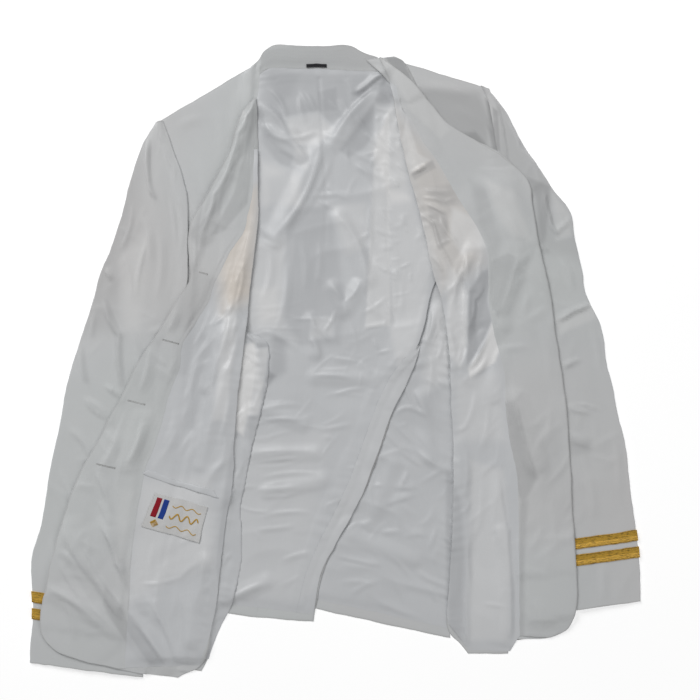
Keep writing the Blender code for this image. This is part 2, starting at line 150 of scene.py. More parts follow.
BACK_LEFT = (
    (-18, 336, 65, 336), (-17, 308, 121, 313), (-16, 273, 175, 293), (-14, 232, 183, 244),
    (-12, 186, 169, 186), (-10, 128, 131, 128), (-13, 82, 112, 86), (-18, 25, 97, 25),
    (-29, -33, 75, -33), (-41, -91, 55, -91), (-54, -149, 34, -149), (-69, -206, 4, -204),
    (-79, -253, -15, -246), (-92, -296, -25, -301),
)
BACK_LINING = (
    (-85, 335, 54, 334), (-110, 302, 87, 302), (-119, 244, 103, 244), (-119, 163, 121, 186),
    (-119, 94, 129, 128), (-122, 36, 108, 80), (-128, -10, 92, 19), (-134, -45, 63, -18),
    (-139, -79, 40, -68), (-141, -114, 26, -108), (-143, -160, 8, -154), (-146, -206, -18, -206),
    (-148, -241, -34, -243), (-149, -278, -46, -290),
)
VENT_FACING = (
    (93, 19, 98, 18), (64, -18, 86, -18), (41, -68, 62, -68), (27, -108, 48, -108),
    (9, -154, 31, -154), (-17, -206, 3, -206), (-33, -243, -16, -243), (-45, -290, -25, -292),
)
SIDE_LEFT = (
    (155, 180, 190, 198), (116, 128, 194, 140), (88, 71, 155, 82), (72, 25, 129, 36),
    (56, -16, 131, -10), (41, -51, 134, -51), (30, -85, 135, -103), (11, -126, 135, -149),
    (-6, -166, 134, -195), (-22, -206, 131, -241), (-36, -247, 129, -276), (-46, -281, 128, -319),
)
SIDE_LEFT_LINING = (
    (155, 178, 188, 194), (116, 126, 191, 140), (88, 68, 153, 81), (72, 25, 128, 36),
    (56, -16, 130, -10), (41, -51, 132, -51), (30, -85, 134, -103), (11, -126, 134, -149),
    (-6, -166, 133, -195), (-22, -206, 130, -241), (-34, -243, 128, -273), (-43, -271, 127, -308),
)
SIDE_RIGHT = (
    (-131, 42, -102, 35), (-133, 27, -78, 21), (-133, 11, -76, 10), (-134, -22, -78, -23),
    (-138, -46, -83, -47), (-143, -78, -91, -79), (-146, -103, -97, -104), (-148, -141, -104, -142),
    (-151, -165, -109, -166), (-152, -197, -108, -198), (-154, -223, -108, -224),
    (-158, -250, -112, -252), (-160, -270, -117, -271), (-162, -285, -122, -286),
    (-164, -297, -128, -298), (-169, -324, -140, -325), (-174, -343, -146, -344),
    (-178, -355, -154, -358),
)
FRONT_RIGHT_SIDE = (
    (-200, 279, -97, 340), (-191, 259, -97, 304), (-186, 245, -96, 279), (-174, 210, -95, 232),
    (-170, 186, -96, 186), (-169, 123, -100, 119), (-175, 71, -106, 67), (-184, 1, -112, 6),
    (-192, -79, -122, -78), (-197, -160, -126, -154), (-200, -230, -137, -224),
    (-203, -293, -147, -295), (-197, -334, -156, -331),
)
FRONT_RIGHT = (
    (-95, 301, -91, 304), (-110, 281, -90, 276), (-123, 240, -89, 238), (-138, 211, -89, 212),
    (-153, 183, -89, 183), (-168, 155, -90, 154), (-169, 119, -94, 118), (-168, 94, -97, 93),
    (-183, 69, -100, 67), (-197, 45, -102, 45), (-209, 26, -104, 26), (-230, -6, -108, -5),
    (-244, -36, -112, -36), (-259, -63, -114, -63), (-277, -99, -117, -99),
    (-292, -124, -117, -124), (-303, -151, -119, -151), (-312, -178, -125, -178),
    (-322, -210, -129, -210), (-329, -236, -132, -236), (-333, -260, -134, -260),
    (-338, -279, -137, -279), (-340, -297, -140, -297), (-340, -310, -143, -310),
    (-334, -323, -145, -324), (-322, -334, -148, -338), (-285, -347, -156, -352),
    (-223, -361, -182, -365),
)
FACING_RIGHT = (
    (-95, 301, -91, 303), (-110, 281, -92, 275), (-123, 240, -93, 235), (-138, 211, -95, 195),
    (-153, 183, -100, 169), (-168, 155, -106, 148), (-169, 119, -122, 123), (-168, 94, -137, 93),
    (-183, 69, -145, 70), (-197, 45, -159, 46), (-209, 26, -174, 22), (-230, -6, -179, -9),
    (-244, -36, -190, -36), (-259, -63, -197, -63), (-277, -99, -208, -99),
    (-292, -124, -218, -124), (-303, -151, -223, -151), (-312, -178, -228, -178),
    (-322, -210, -233, -210), (-329, -236, -235, -236), (-333, -260, -236, -260),
    (-338, -279, -237, -279), (-340, -297, -238, -297), (-340, -310, -239, -310),
    (-334, -323, -240, -324), (-322, -334, -241, -338), (-285, -347, -241, -356),
)
LINING_RIGHT = (
    (-92, 244, -89, 244), (-95, 195, -89, 195), (-99, 169, -89, 169), (-105, 148, -91, 145),
    (-121, 122, -94, 119), (-136, 92, -97, 93), (-144, 69, -100, 67), (-158, 46, -102, 45),
    (-173, 22, -105, 21), (-178, -9, -108, -9), (-189, -36, -112, -36), (-196, -63, -114, -63),
    (-207, -99, -117, -99), (-216, -124, -117, -124), (-222, -151, -119, -151),
    (-227, -178, -125, -178), (-231, -210, -129, -210), (-234, -236, -132, -236),
    (-236, -279, -137, -279), (-238, -310, -143, -310), (-240, -345, -154, -342),
)
FRONT_LEFT_SIDE = (
    (69, 348, 170, 317), (75, 325, 176, 296), (82, 296, 179, 280), (90, 265, 183, 261),
    (98, 232, 185, 244), (109, 186, 189, 198), (119, 140, 191, 146), (128, 94, 192, 94),
    (132, 52, 190, 48),
)
FRONT_LEFT = (
    (50, 350, 52, 351), (61, 327, 84, 327), (67, 302, 109, 297), (73, 267, 143, 264),
    (78, 244, 182, 245), (84, 217, 213, 218), (90, 198, 225, 198), (97, 172, 228, 175),
    (102, 152, 232, 152), (107, 125, 237, 125), (112, 105, 243, 103), (122, 71, 250, 68),
    (128, 36, 253, 36), (132, -4, 259, -4), (134, -51, 266, -51), (136, -103, 269, -103),
    (136, -160, 273, -160), (134, -218, 277, -218), (131, -264, 278, -264), (129, -290, 278, -285),
    (129, -306, 267, -310), (134, -317, 248, -319), (142, -324, 225, -321), (147, -330, 205, -322),
    (153, -338, 199, -338),
)
FACING_LEFT = (
    (52, 349, 53, 350), (68, 320, 88, 323), (76, 293, 114, 293), (88, 277, 129, 275),
    (102, 250, 165, 253), (113, 236, 190, 237), (132, 204, 224, 204), (147, 178, 228, 175),
    (160, 159, 231, 157), (172, 134, 235, 134), (176, 100, 243, 100), (177, 65, 250, 65),
    (182, 36, 253, 36), (190, 6, 258, 6), (195, -22, 262, -22), (196, -51, 266, -51),
    (202, -97, 269, -97), (208, -126, 271, -126), (211, -183, 274, -183), (212, -230, 277, -230),
    (212, -276, 278, -279), (212, -299, 274, -298), (212, -309, 267, -310), (212, -318, 248, -319),
)
LINING_LEFT = (
    (62, 323, 67, 319), (68, 299, 75, 292), (73, 267, 87, 277), (78, 244, 101, 249),
    (84, 217, 123, 217), (90, 198, 135, 198), (97, 172, 150, 172), (102, 152, 162, 153),
    (107, 125, 171, 132), (112, 105, 175, 102), (122, 71, 176, 71), (128, 36, 181, 36),
    (132, -4, 191, 1), (134, -51, 195, -51), (136, -103, 201, -99), (136, -160, 208, -149),
    (134, -218, 210, -218), (131, -264, 211, -264), (129, -290, 211, -290), (131, -302, 210, -312),
    (140, -315, 205, -322), (154, -334, 198, -335),
)
SLEEVE_RIGHT = (
    (-207, 276, -199, 278), (-218, 259, -192, 259), (-226, 243, -187, 244), (-235, 214, -176, 213),
    (-241, 193, -171, 191), (-248, 164, -170, 161), (-261, 126, -170, 122), (-271, 103, -170, 94),
    (-279, 74, -173, 65), (-295, 23, -178, 16), (-311, -31, -184, -40), (-317, -67, -188, -77),
    (-329, -121, -195, -133), (-334, -154, -198, -167), (-341, -193, -203, -208),
    (-350, -224, -206, -239), (-351, -255, -210, -269), (-349, -276, -212, -291),
    (-349, -297, -214, -312), (-352, -322, -218, -337), (-353, -348, -222, -365),
)
SLEEVE_LEFT = (
    (168, 318, 175, 314), (177, 297, 195, 291), (181, 276, 206, 271), (185, 252, 217, 250),
    (188, 223, 237, 221), (188, 200, 252, 198), (188, 172, 272, 170), (188, 142, 277, 139),
    (188, 108, 285, 104), (189, 82, 289, 80), (195, 36, 308, 36), (199, -1, 313, -1),
    (204, -33, 321, -33), (207, -61, 326, -61), (211, -91, 334, -91), (214, -131, 339, -131),
    (217, -160, 342, -160), (220, -195, 347, -194), (222, -230, 351, -227), (225, -294, 353, -277),
)
POCKET_WELT = (
    (-215, -125, -222, -129), (-191, -135, -206, -136), (-166, -142, -177, -145),
    (-141, -147, -134, -157),
)
LABEL = (
    (-208, -151, -147, -167), (-224, -190, -156, -209),
)
NECK_TAG = (
    (-33, 343, -10, 343), (-33, 339, -10, 339),
)

# Broad folds. Columns: start x, start y, end x, end y, height, half width
BACK_FOLDS = (
    (-89, 300, -54, 258, 5, 16), (-74, 268, -35, 234, 6, 14), (-17, 247, -68, 145, 7, 18),
    (47, 305, -5, 251, 6, 16), (4, 166, 37, 96, 6, 16), (-2, 84, 10, 58, 6, 14),
    (28, 88, 10, 58, 6, 14), (-28, 48, -24, 10, 5, 13), (-24, -18, 42, -20, 4, 14),
    (-84, -54, -38, -72, 4, 14), (-92, -106, -24, -106, 4, 13), (-78, -150, -12, -136, 4, 14),
    (-118, -272, -80, -254, 4, 14),
)
FRONT_RIGHT_FOLDS = (
    (-95, 292, -117, 250, 6, 14), (-119, 244, -142, 190, 6, 14), (-142, 190, -154, 148, 6, 14),
    (-222, -68, -240, -118, 4, 14), (-302, -194, -249, -282, 5, 18),
    (-254, -282, -196, -350, 5, 18), (-262, -192, -226, -280, 4, 16),
    (-330, -262, -276, -292, 4, 14),
)
LINING_RIGHT_FOLDS = (
    (-92, 160, -122, 60, 5, 12), (-112, 60, -150, -30, 4, 12), (-124, -10, -156, -120, 4, 12),
    (-150, -230, -166, -320, 4, 14),
)
FRONT_LEFT_FOLDS = (
    (196, 206, 220, 140, 4, 18), (209, 125, 183, 48, 6, 16), (188, 44, 152, -18, 6, 16),
    (170, 126, 160, 88, 5, 12), (158, 127, 126, 78, 5, 12), (190, 5, 186, -36, 5, 14),
    (208, -44, 232, -116, 5, 16), (142, -120, 150, -210, 4, 14),
)
SIDE_LEFT_FOLDS = (
    (118, 60, 96, 0, 4, 12), (100, -40, 108, -110, 4, 14), (66, -120, 40, -190, 4, 14),
    (20, -200, 90, -230, 4, 14),
)

# Creases. Columns: start x, start y, end x, end y, bow to the left, height, half width
BACK_LINING_CREASES = (
    (-89, 299, -54, 258, 6, 3.5, 7), (-74, 267, -34, 231, 7, 3, 6), (47, 314, -5, 251, -6, 4, 6),
    (-17, 247, -69, 145, 9, 3.6, 6), (-2, 244, -46, 161, 6, -2, 8), (-39, 191, 16, 194, 0, 1.8, 4),
    (-22, 187, -2, 177, 0, 1.5, 3), (-15, 198, -6, 172, 0, 1.2, 3), (4, 167, 36, 96, 7, 2.8, 6),
    (40, 261, 70, 238, 0, 2, 5), (48, 242, 40, 224, 0, 2, 4), (24, 227, 46, 214, 0, 2, 5),
    (-3, 87, 9, 71, 0, 1.5, 3), (28, 92, 9, 68, 3, 1.5, 3), (9, 71, 14, 52, 0, 1.2, 3),
    (-29, 52, -22, 35, 0, 2.2, 2.5), (0, 60, -13, 35, 2, 2.2, 2.5), (-27, 42, -6, 22, 3, 2.2, 4),
    (-30, 27, -20, 1, 3, 2.2, 5), (-5, 5, 26, 0, 0, 1.6, 5), (28, 1, 43, -15, 0, 1.8, 5),
    (-25, -16, 19, -18, 2, 1.8, 4), (43, 27, 49, 12, 0, 1.6, 3), (47, 10, 63, 13, 0, 1.2, 3),
    (-82, -53, -44, -51, 2, 1.6, 4), (-86, -69, -34, -68, 3, 1.6, 4),
    (-94, -105, -25, -103, 2, 1.6, 4), (-89, -115, -41, -111, 0, 1.2, 3),
    (-85, -134, -20, -129, 3, 1.4, 4), (-92, -148, -41, -144, 0, 1.2, 4),
    (-85, -179, -29, -174, 3, 1.4, 4), (-89, -194, -46, -190, 0, 1.2, 4),
    (15, -124, 42, -116, 0, 1.8, 4), (-118, -272, -81, -256, 2, 2, 5),
    (-78, 134, -85, 71, 6, 2.2, 6), (-57, 115, -69, 36, 5, 2, 6), (-41, 140, -36, 82, 4, 1.6, 6),
    (-85, 36, -41, 11, 4, 1.6, 5), (5, 302, 19, 269, 3, 1.8, 5), (-41, 308, -34, 273, -3, 1.6, 5),
    (-4, -39, 35, -31, 2, 1.4, 4), (-20, -79, 19, -72, 0, 1.2, 4), (-11, -166, 10, -158, 0, 1.2, 4),
    (-62, -230, -27, -220, 2, 1.3, 5), (-103, -22, -85, -42, 2, 2, 5),
    (-20, 140, -22, 90, 3, 1.4, 5), (58, 333, 42, 323, -1, -3.5, 5), (42, 323, 23, 309, 1, -3, 5),
    (47, 293, 65, 288, 0, 1.6, 2.5), (45, 265, 56, 253, 0, 1.6, 2.5), (33, 38, 62, 44, 0, -1.6, 3),
    (-76, 313, -57, 279, 4, 2, 4), (-82, 281, -74, 264, -2, 2.4, 4),
    (-74, 264, -59, 256, -1, 2.4, 4), (-59, 256, -21, 266, -2, 2, 4),
    (-85, 293, -46, 246, -4, -2, 5), (-41, 311, -28, 288, 0, 1.8, 4), (13, 50, 24, 11, 3, 1.3, 4),
)
SIDE_LEFT_CREASES = (
    (84, -126, 75, -146, 0, 2.4, 4), (86, -94, 140, -127, -5, 2.4, 6),
    (116, -191, 108, -216, 0, 2, 4), (121, -196, 138, -227, 3, 1.8, 5),
    (48, -197, 79, -195, 0, 1.6, 5), (2, -225, 56, -235, -2, -1.8, 4),
    (95, -241, 131, -258, -3, 1.8, 5), (6, -255, 47, -258, 3, 1.4, 5),
    (69, -61, 90, -54, 4, 1.8, 4), (90, -54, 108, -62, 0, 1.8, 4), (70, -75, 84, -72, 0, 1.4, 4),
    (112, 59, 103, 19, 3, 2, 5), (98, 11, 86, 11, 0, 1.2, 3), (122, 36, 117, 1, 3, 2, 5),
    (109, 13, 107, -42, 3, 1.6, 5), (128, 19, 132, -12, -3, 2.2, 6),
    (40, -143, 58, -142, 0, 1.2, 3), (23, -195, 45, -183, 2, 1.3, 4),
    (65, -160, 72, -206, 4, 1.4, 6),
)
STRIP_CREASES = (
    (-103, 33, -89, 20, 0, 3, 3), (-94, 30, -73, 19, 1, 3.4, 4), (-108, 12, -88, -5, 0, -2, 2.5),
    (-85, -27, -96, -56, 1, 1.6, 4),
)
FRONT_RIGHT_CREASES = (
    (-269, -189, -251, -233, 2, 3.9, 4), (-251, -233, -225, -283, -2, 3.9, 4),
    (-331, -260, -274, -297, 3, 3.9, 4.5), (-318, -230, -290, -276, -3, 2.7, 4),
    (-290, -276, -246, -322, 3, 2.7, 4), (-277, -126, -258, -183, 3, 2.4, 5),
    (-214, -276, -184, -347, 3, 3, 4.5), (-263, -79, -249, -105, 0, 2.4, 4),
    (-302, -194, -249, -282, -4, -3.6, 7), (-249, -282, -191, -357, 4, -3.6, 7),
    (-269, -189, -251, -233, 3, 3.9, 7), (-251, -233, -225, -283, 4, 3.9, 6),
    (-331, -260, -274, -297, 5, 3.6, 7), (-222, -68, -240, -119, 3, 4.5, 7),
    (-313, -193, -272, -258, -4, 3.6, 8), (-277, -247, -240, -301, -3, 3.6, 7),
    (-293, -287, -251, -322, 4, 2.7, 7), (-272, -160, -258, -190, 0, 2.7, 7),
    (-320, -216, -295, -241, 3, 2.4, 6), (-161, 142, -161, 108, 0, 3, 5),
    (-214, 19, -226, -36, 4, 2.4, 8), (-184, 60, -193, 34, 2, 2.4, 6),
    (-248, -74, -272, -126, 3, 2.4, 8), (-311, -276, -302, -322, 3, 2.1, 6),
)
LAPEL_ROLL = (
    (-92, 302, -102, 282, 2, 2.6, 4), (-102, 282, -114, 261, 2, 2.6, 4),
    (-114, 261, -119, 239, 2, 2.6, 4), (-119, 239, -140, 192, 3, 2.6, 4),
    (-140, 192, -154, 149, 2, 2.4, 4), (-154, 149, -158, 119, 0, 2.4, 5),
)
LINING_RIGHT_CREASES = (
    (-115, 157, -136, 115, 4, 3, 6), (-103, 169, -110, 115, 5, 2.4, 6),
    (-123, 115, -140, 71, 4, 2.8, 6), (-106, 115, -117, 59, 4, 2.4, 6),
    (-143, 71, -168, 13, 5, 2.6, 6), (-122, 65, -143, -12, 6, 2.2, 6),
    (-112, 36, -131, -19, 4, 1.8, 5), (-161, 11, -175, -47, 4, 2, 6),
    (-140, 11, -154, -66, 5, 1.8, 6), (-122, -22, -133, -89, 4, 1.8, 6),
    (-185, -49, -198, -98, 3, 1.6, 6), (-161, -59, -173, -116, 4, 1.6, 6),
    (-184, -166, -196, -230, 4, 1.5, 7), (-151, -195, -166, -287, 6, 2, 7),
    (-203, -230, -212, -299, 3, 1.6, 8), (-179, -264, -175, -334, 4, 1.6, 7),
    (-214, -310, -203, -343, 0, 1.4, 6), (-140, -230, -152, -297, 3, 1.6, 5),
)
FRONT_LEFT_CREASES = (
    (210, 122, 203, 100, 1, 2.2, 2.6), (203, 100, 182, 50, 3, 2.2, 2.6),
    (207, -45, 217, -91, -1, -3.4, 6), (217, -91, 232, -135, -2, -2.8, 7),
    (209, 125, 204, 101, 2, 1.4, 8), (204, 101, 182, 48, 4, 1.4, 8),
    (160, 214, 196, 178, 4, 1.8, 12), (196, 178, 219, 138, -3, 1.8, 12),
    (207, -44, 218, -79, -3, 2.6, 7), (218, -79, 232, -116, -4, 2.6, 8),
    (202, -45, 205, -91, 0, -3.5, 8), (205, -91, 212, -178, 2, -2.8, 9),
    (236, 36, 246, -22, 4, 1.2, 10), (242, -126, 250, -206, 4, 1, 12),
    (188, -126, 198, -195, -2, -3, 9), (198, -195, 203, -264, -1, -6.5, 11),
    (203, -264, 203, -339, 0, -7.5, 11), (151, -212, 149, -276, 1, 3, 6),
    (149, -276, 151, -331, 0, 3.5, 6), (172, -280, 202, -284, 1, 1.8, 2.5),
    (225, -276, 242, -308, 3, 1.2, 8),
)
LINING_LEFT_CREASES = (
    (98, 171, 112, 160, 0, 2.6, 2.6), (112, 160, 119, 134, 0, 2.6, 2.6),
    (119, 134, 135, 108, 0, 2.6, 2.6), (140, 94, 159, 126, 1, 2.4, 3),
    (164, 94, 169, 125, 1, 2.2, 3), (100, 189, 127, 184, 1, 2.2, 3),
    (127, 184, 144, 190, 1, 2.2, 3), (86, 215, 112, 230, -1, -3.2, 4),
    (103, 198, 138, 198, -2, 3, 5), (138, 198, 164, 208, -2, 3, 5), (121, 169, 135, 140, -3, 3, 5),
    (135, 140, 117, 131, -2, 2.2, 4), (106, 180, 127, 169, 1, -2.6, 4),
    (162, 169, 172, 139, 0, 2.6, 4), (91, 191, 102, 175, 1, 1.8, 3),
    (109, 122, 125, 100, 2, 2.2, 4), (152, 128, 153, 82, -2, 4.5, 9), (153, 82, 152, 19, -2, 5, 9),
    (152, 19, 142, -10, 2, 4, 7), (180, 45, 167, 13, 2, 3.5, 4), (167, 13, 153, -8, 1, 3.5, 4),
    (180, 45, 194, 28, 0, 2.6, 3), (194, 28, 183, 1, 2, 2.4, 4), (138, 111, 132, 59, 3, 2.5, 5),
    (129, 48, 139, 7, -2, 2.2, 5), (159, 127, 145, 103, 3, 3.2, 5), (145, 103, 125, 78, 3, 3, 5),
    (169, 130, 165, 110, 2, 2.8, 4), (165, 110, 159, 86, 2, 2.6, 4), (172, 92, 160, 71, 3, -3.5, 6),
    (160, 71, 152, 37, 3, -3.5, 6), (182, 44, 194, 27, -3, 2.4, 5), (177, 10, 152, -18, 4, 2.6, 5),
    (188, 5, 194, -17, -3, 2.2, 4), (194, -17, 182, -38, 3, 2.2, 4), (119, 128, 128, 92, 3, 2.2, 5),
    (135, 149, 142, 126, 0, 1.8, 5), (109, 170, 125, 140, 3, 1.8, 6), (132, 71, 125, 36, 3, 2, 5),
    (146, 25, 135, -12, 3, 2, 5), (161, -33, 146, -79, 4, 1.8, 6), (176, -47, 165, -105, 4, 1.8, 6),
    (190, -68, 183, -126, 3, 1.6, 6), (151, -103, 146, -160, 3, 1.5, 6),
    (167, -137, 160, -206, 4, 1.5, 6), (190, -160, 185, -218, 2, 1.4, 6),
    (142, -218, 138, -276, 0, 1.6, 6), (90, 244, 116, 198, 4, 1.8, 6),
    (75, 279, 102, 232, 3, 1.6, 6), (102, 198, 135, 170, 3, 1.6, 6),
)
SLEEVE_RIGHT_CREASES = (
    (-264, -27, -249, -40, 0, 2.4, 3.5), (-289, -42, -263, -66, -3, 2.2, 3.5),
    (-235, 180, -249, 128, 4, 1.6, 5), (-214, 146, -230, 71, -4, 1.6, 5),
    (-191, 186, -184, 128, 2, 1.4, 5), (-258, -91, -272, -160, 3, 1.5, 6),
    (-318, -126, -302, -160, 0, 1.5, 5), (-216, 256, -216, 209, -2, 3, 6),
    (-216, 209, -207, 186, -2, 2.4, 6), (-266, 107, -258, 93, 0, 3, 7),
    (-266, 71, -250, 31, -4, 3, 7), (-250, 31, -246, -30, -3, 2.8, 7),
    (-294, 15, -287, -25, -3, 2.4, 6), (-264, -27, -249, -40, 0, 2, 5),
    (-289, -42, -262, -66, 3, 2.4, 6), (-226, 170, -214, 115, 4, 1.8, 9),
    (-203, 149, -207, 71, 4, 1.6, 9), (-249, 128, -235, 71, 4, 1.6, 8),
    (-307, -79, -281, -116, 4, 1.8, 8), (-316, -137, -295, -193, 4, 1.8, 9),
    (-277, -91, -286, -160, 4, 1.4, 9), (-327, -206, -332, -264, 3, 1.6, 8),
    (-278, 59, -283, 27, 0, 1.8, 6), (-237, 36, -228, -22, 4, 1.5, 8),
)
SLEEVE_LEFT_CREASES = (
    (254, 46, 276, 58, -1, -3, 4), (276, 58, 294, 66, -1, -3, 4), (261, -8, 277, 0, 0, -2.2, 3.5),
    (267, -49, 306, -56, 2, 2, 2.5), (271, -85, 294, -103, 2, -1.8, 7),
    (199, 169, 213, 115, -3, 1.4, 5), (225, 115, 237, 71, 3, 1.4, 5),
    (243, 194, 247, 167, -2, -3, 6), (247, 167, 255, 150, -2, -3, 5),
    (255, 150, 271, 165, 0, 2.4, 5), (236, 135, 246, 127, 0, 2, 5), (254, 46, 293, 66, 3, 3, 6),
    (261, -8, 283, 3, 2, 2.2, 6), (267, -49, 293, -57, -3, 2.4, 6), (271, -91, 292, -99, 0, -2, 9),
    (213, 244, 236, 209, 4, 1.8, 7), (259, 117, 273, 82, 3, 1.8, 7), (294, 36, 306, -12, 3, 1.4, 8),
    (288, -126, 296, -183, 3, 1.4, 9), (319, -79, 326, -149, 3, 1.2, 8),
    (306, -235, 310, -276, 0, 1.4, 9), (197, 279, 213, 244, 3, 1.6, 6),
)
SHOULDER_RIGHT_CREASES = (
    (-184, 269, -151, 281, 4, 1.2, 8), (-161, 232, -149, 186, 4, 1.4, 9),
    (-139, 290, -131, 244, 3, 1.2, 9), (-161, 180, -166, 134, 3, 1.6, 7),
)
SHOULDER_LEFT_CREASES = (
    (109, 320, 155, 304, 4, 1.4, 9), (135, 293, 174, 269, 3, 1.2, 8),
    (97, 315, 123, 313, 0, -1, 2.5),
)

# Short creases in random places. Columns: seed, count, spots as x, y and radius, angle, spread
# of the angle, length, height, half width
BACK_SCATTER = (
    (301, 40, ((56, 240, 40), (58, 150, 45), (52, 70, 40)), -70, 40, 26, 1.5, 4),
    (311, 40, tuple((61 + k, 275 - 24 * k, 16) for k in range(10)), -15, 40, 11, 1.3, 2),
    (302, 44, ((-80, -60, 50), (-90, -140, 60), (-80, 40, 40)), 5, 10, 44, 0.7, 2.5),
    (303, 30, ((-20, -60, 60), (-40, -230, 60), (20, 0, 40)), 10, 40, 26, 0.7, 3.5),
    (304, 30, ((-70, 240, 40), (20, 280, 40), (-80, 160, 40)), -50, 30, 34, 1.4, 6),
)
SIDE_LEFT_SCATTER = (
    305, 70, ((100, 20, 50), (90, -70, 50), (90, -170, 60), (60, -230, 50)), -50, 45, 34, 1.4, 5
)
LINING_RIGHT_SCATTER = (
    306, 60, ((-115, 100, 40), (-130, 20, 50), (-150, -70, 60), (-180, -240, 70)), 65, 25, 36,
    1.2, 5,
)
LINING_LEFT_SCATTER = (
    307, 70, ((130, 110, 50), (150, 30, 50), (165, -80, 60), (170, -220, 70)), 60, 35, 34, 1.3, 5
)
STRIP_SCATTER = (
    308, 34, ((-105, 0, 26), (-112, -60, 30), (-125, -130, 30), (-130, -220, 40)), 60, 35, 26,
    1.6, 4,
)
FACING_RIGHT_SCATTER = (
    309, 40, ((-260, -110, 60), (-280, -230, 60), (-210, 0, 40), (-130, 180, 40)), 115, 35, 40,
    1.3, 6,
)
FACING_LEFT_SCATTER = (
    310, 40, ((220, 60, 50), (235, -60, 60), (240, -200, 60), (180, 200, 40)), 70, 35, 44, 1.3, 6
)

# Grooves of the back lining's seams and pleat, with the columns of a crease
BACK_SEAMS = (
    (-19, 326, -10, 186, 2, -0.8, 2), (-10, 186, -12, 137, 0, -0.6, 2),
    (45, 296, 45, 140, 0, -0.5, 1.8), (45, 140, 32, 38, 4, -0.5, 1.8),
    (61, 267, 61, 140, 0, -0.6, 1.8), (61, 140, 68, 43, 0, -0.6, 1.8),
)

# Buttonholes. Columns: start x, start y, end x, end y
BUTTONHOLES = (
    (-157, 103, -147, 100), (-199, 25, -180, 20), (-239, -45, -219, -50), (-275, -118, -253, -123),
)

# Areas of painted light, or of painted shade where the strength is under 0: sheen, shadows
# and shaded folds painted into the cloth's colour. Columns: corners, strength, blur of the edge
BACK_PAINTED_LIGHT_SHADE = (
    (((-72, 36), (-57, 25), (-57, -12), (-78, -26)), -0.3, 6),
    (((-92, 82), (-69, 85), (-65, 50), (-87, 41)), 0.4, 7),
    (((-81, -8), (-69, -17), (-80, -31)), -0.4, 3.5),
    (((-85, 348), (46, 348), (34, 273), (-70, 273)), -0.28, 12),
    (((-46, 246), (-29, 244), (-32, 221), (-50, 226)), 0.45, 4),
    (((-78, 212), (-52, 219), (-50, 191), (-76, 175)), -0.3, 5),
    (((-27, 50), (-2, 52), (-2, 29), (-29, 25)), 0.4, 4),
    (((56, 329), (67, 306), (55, 272), (33, 246), (15, 235), (5, 244), (24, 269), (45, 299)), -0.34, 3),
    (((19, 309), (58, 333), (63, 325), (33, 302)), -0.36, 3),
    (((46, 297), (71, 295), (79, 244), (86, 186), (65, 182), (42, 244)), 0.55, 6),
    (((61, 198), (88, 191), (112, 115), (98, 36), (77, -26), (63, 36)), 0.38, 5),
    (((-6, 180), (35, 182), (38, 133), (12, 122)), 0.3, 5),
    (((45, 244), (62, 290), (63, 41), (35, 38), (40, 152)), 0.48, 1.2),
    (((-51, 175), (-6, 179), (3, 128), (12, 71), (5, 19), (-41, 19), (-59, 48), (-61, 117)), -0.2, 5),
    (((-85, 346), (-41, 332), (-52, 306), (-85, 279), (-92, 313)), -0.12, 6),
    (((-89, 299), (-74, 258), (-52, 237), (-27, 239), (-9, 260), (-20, 242), (-41, 221),
      (-64, 226), (-85, 253)), -0.26, 4),
    (((-59, 281), (-20, 288), (-2, 269), (-20, 249), (-46, 249)), 0.52, 4),
    (((-87, 232), (-41, 214), (-41, 180), (-85, 180)), 0.52, 8),
    (((-20, 311), (1, 316), (3, 290), (-18, 288)), -0.16, 2),
    (((-139, -91), (-6, -79), (-41, -276), (-143, -276)), 0.2, 14),
    (((-92, 140), (-52, 140), (-64, 36), (-110, 36)), 0.36, 10),
)
SIDE_LEFT_PAINTED_LIGHT_SHADE = (
    (((116, 82), (153, 85), (129, -22), (98, -39)), 0.4, 8),
    (((52, -22), (121, -19), (121, -79), (35, -68)), -0.1, 8),
    (((128, -126), (135, -126), (132, -276), (128, -276)), -0.25, 3),
)
LINING_LEFT_PAINTED_LIGHT_SHADE = (
    (((180, 108), (175, 71), (180, 45), (167, 13), (151, -5), (152, 36), (154, 82), (169, 103)), -0.36, 2),
    (((180, 45), (194, 28), (184, -1), (155, -19), (153, -8), (172, 18)), 1, 1.4),
    (((128, 115), (151, 82), (152, 19), (144, -8), (129, 11)), 0.6, 4),
    (((138, -22), (190, -10), (196, -91), (142, -91)), 0.36, 8),
    (((131, -137), (145, -160), (149, -230), (146, -322), (130, -322)), -0.26, 4),
    (((155, -114), (194, -126), (202, -230), (199, -322), (155, -322)), 0.36, 5),
    (((82, 281), (95, 239), (109, 232), (86, 216), (77, 256)), 0.5, 2),
    (((86, 219), (112, 232), (116, 223), (91, 209)), -0.28, 1.5),
    (((103, 198), (146, 207), (167, 198), (155, 179), (121, 179)), -0.22, 4),
    (((107, 179), (128, 170), (135, 140), (119, 128), (109, 156)), -0.26, 3),
    (((135, 177), (169, 161), (172, 133), (146, 122), (130, 145)), 0.6, 4),
)
FACING_LEFT_PAINTED_LIGHT_SHADE = (
    (((187, 50), (209, 119), (198, 124), (179, 115), (177, 71)), -0.2, 2),
    (((196, -49), (207, -45), (232, -135), (216, -166), (204, -135)), -0.26, 3),
    (((213, -166), (222, -160), (218, -230), (218, -322), (209, -322), (211, -230)), -0.24, 3),
    (((172, 209), (204, 195), (225, 140), (204, 142), (185, 170)), 0.28, 5),
    (((155, 209), (174, 198), (190, 140), (183, 115), (167, 152)), -0.18, 5),
    (((56, 348), (72, 346), (98, 311), (132, 267), (121, 256), (86, 290)), 0.2, 3),
    (((231, -91), (259, -79), (266, -126), (242, -160)), -0.1, 8),
)
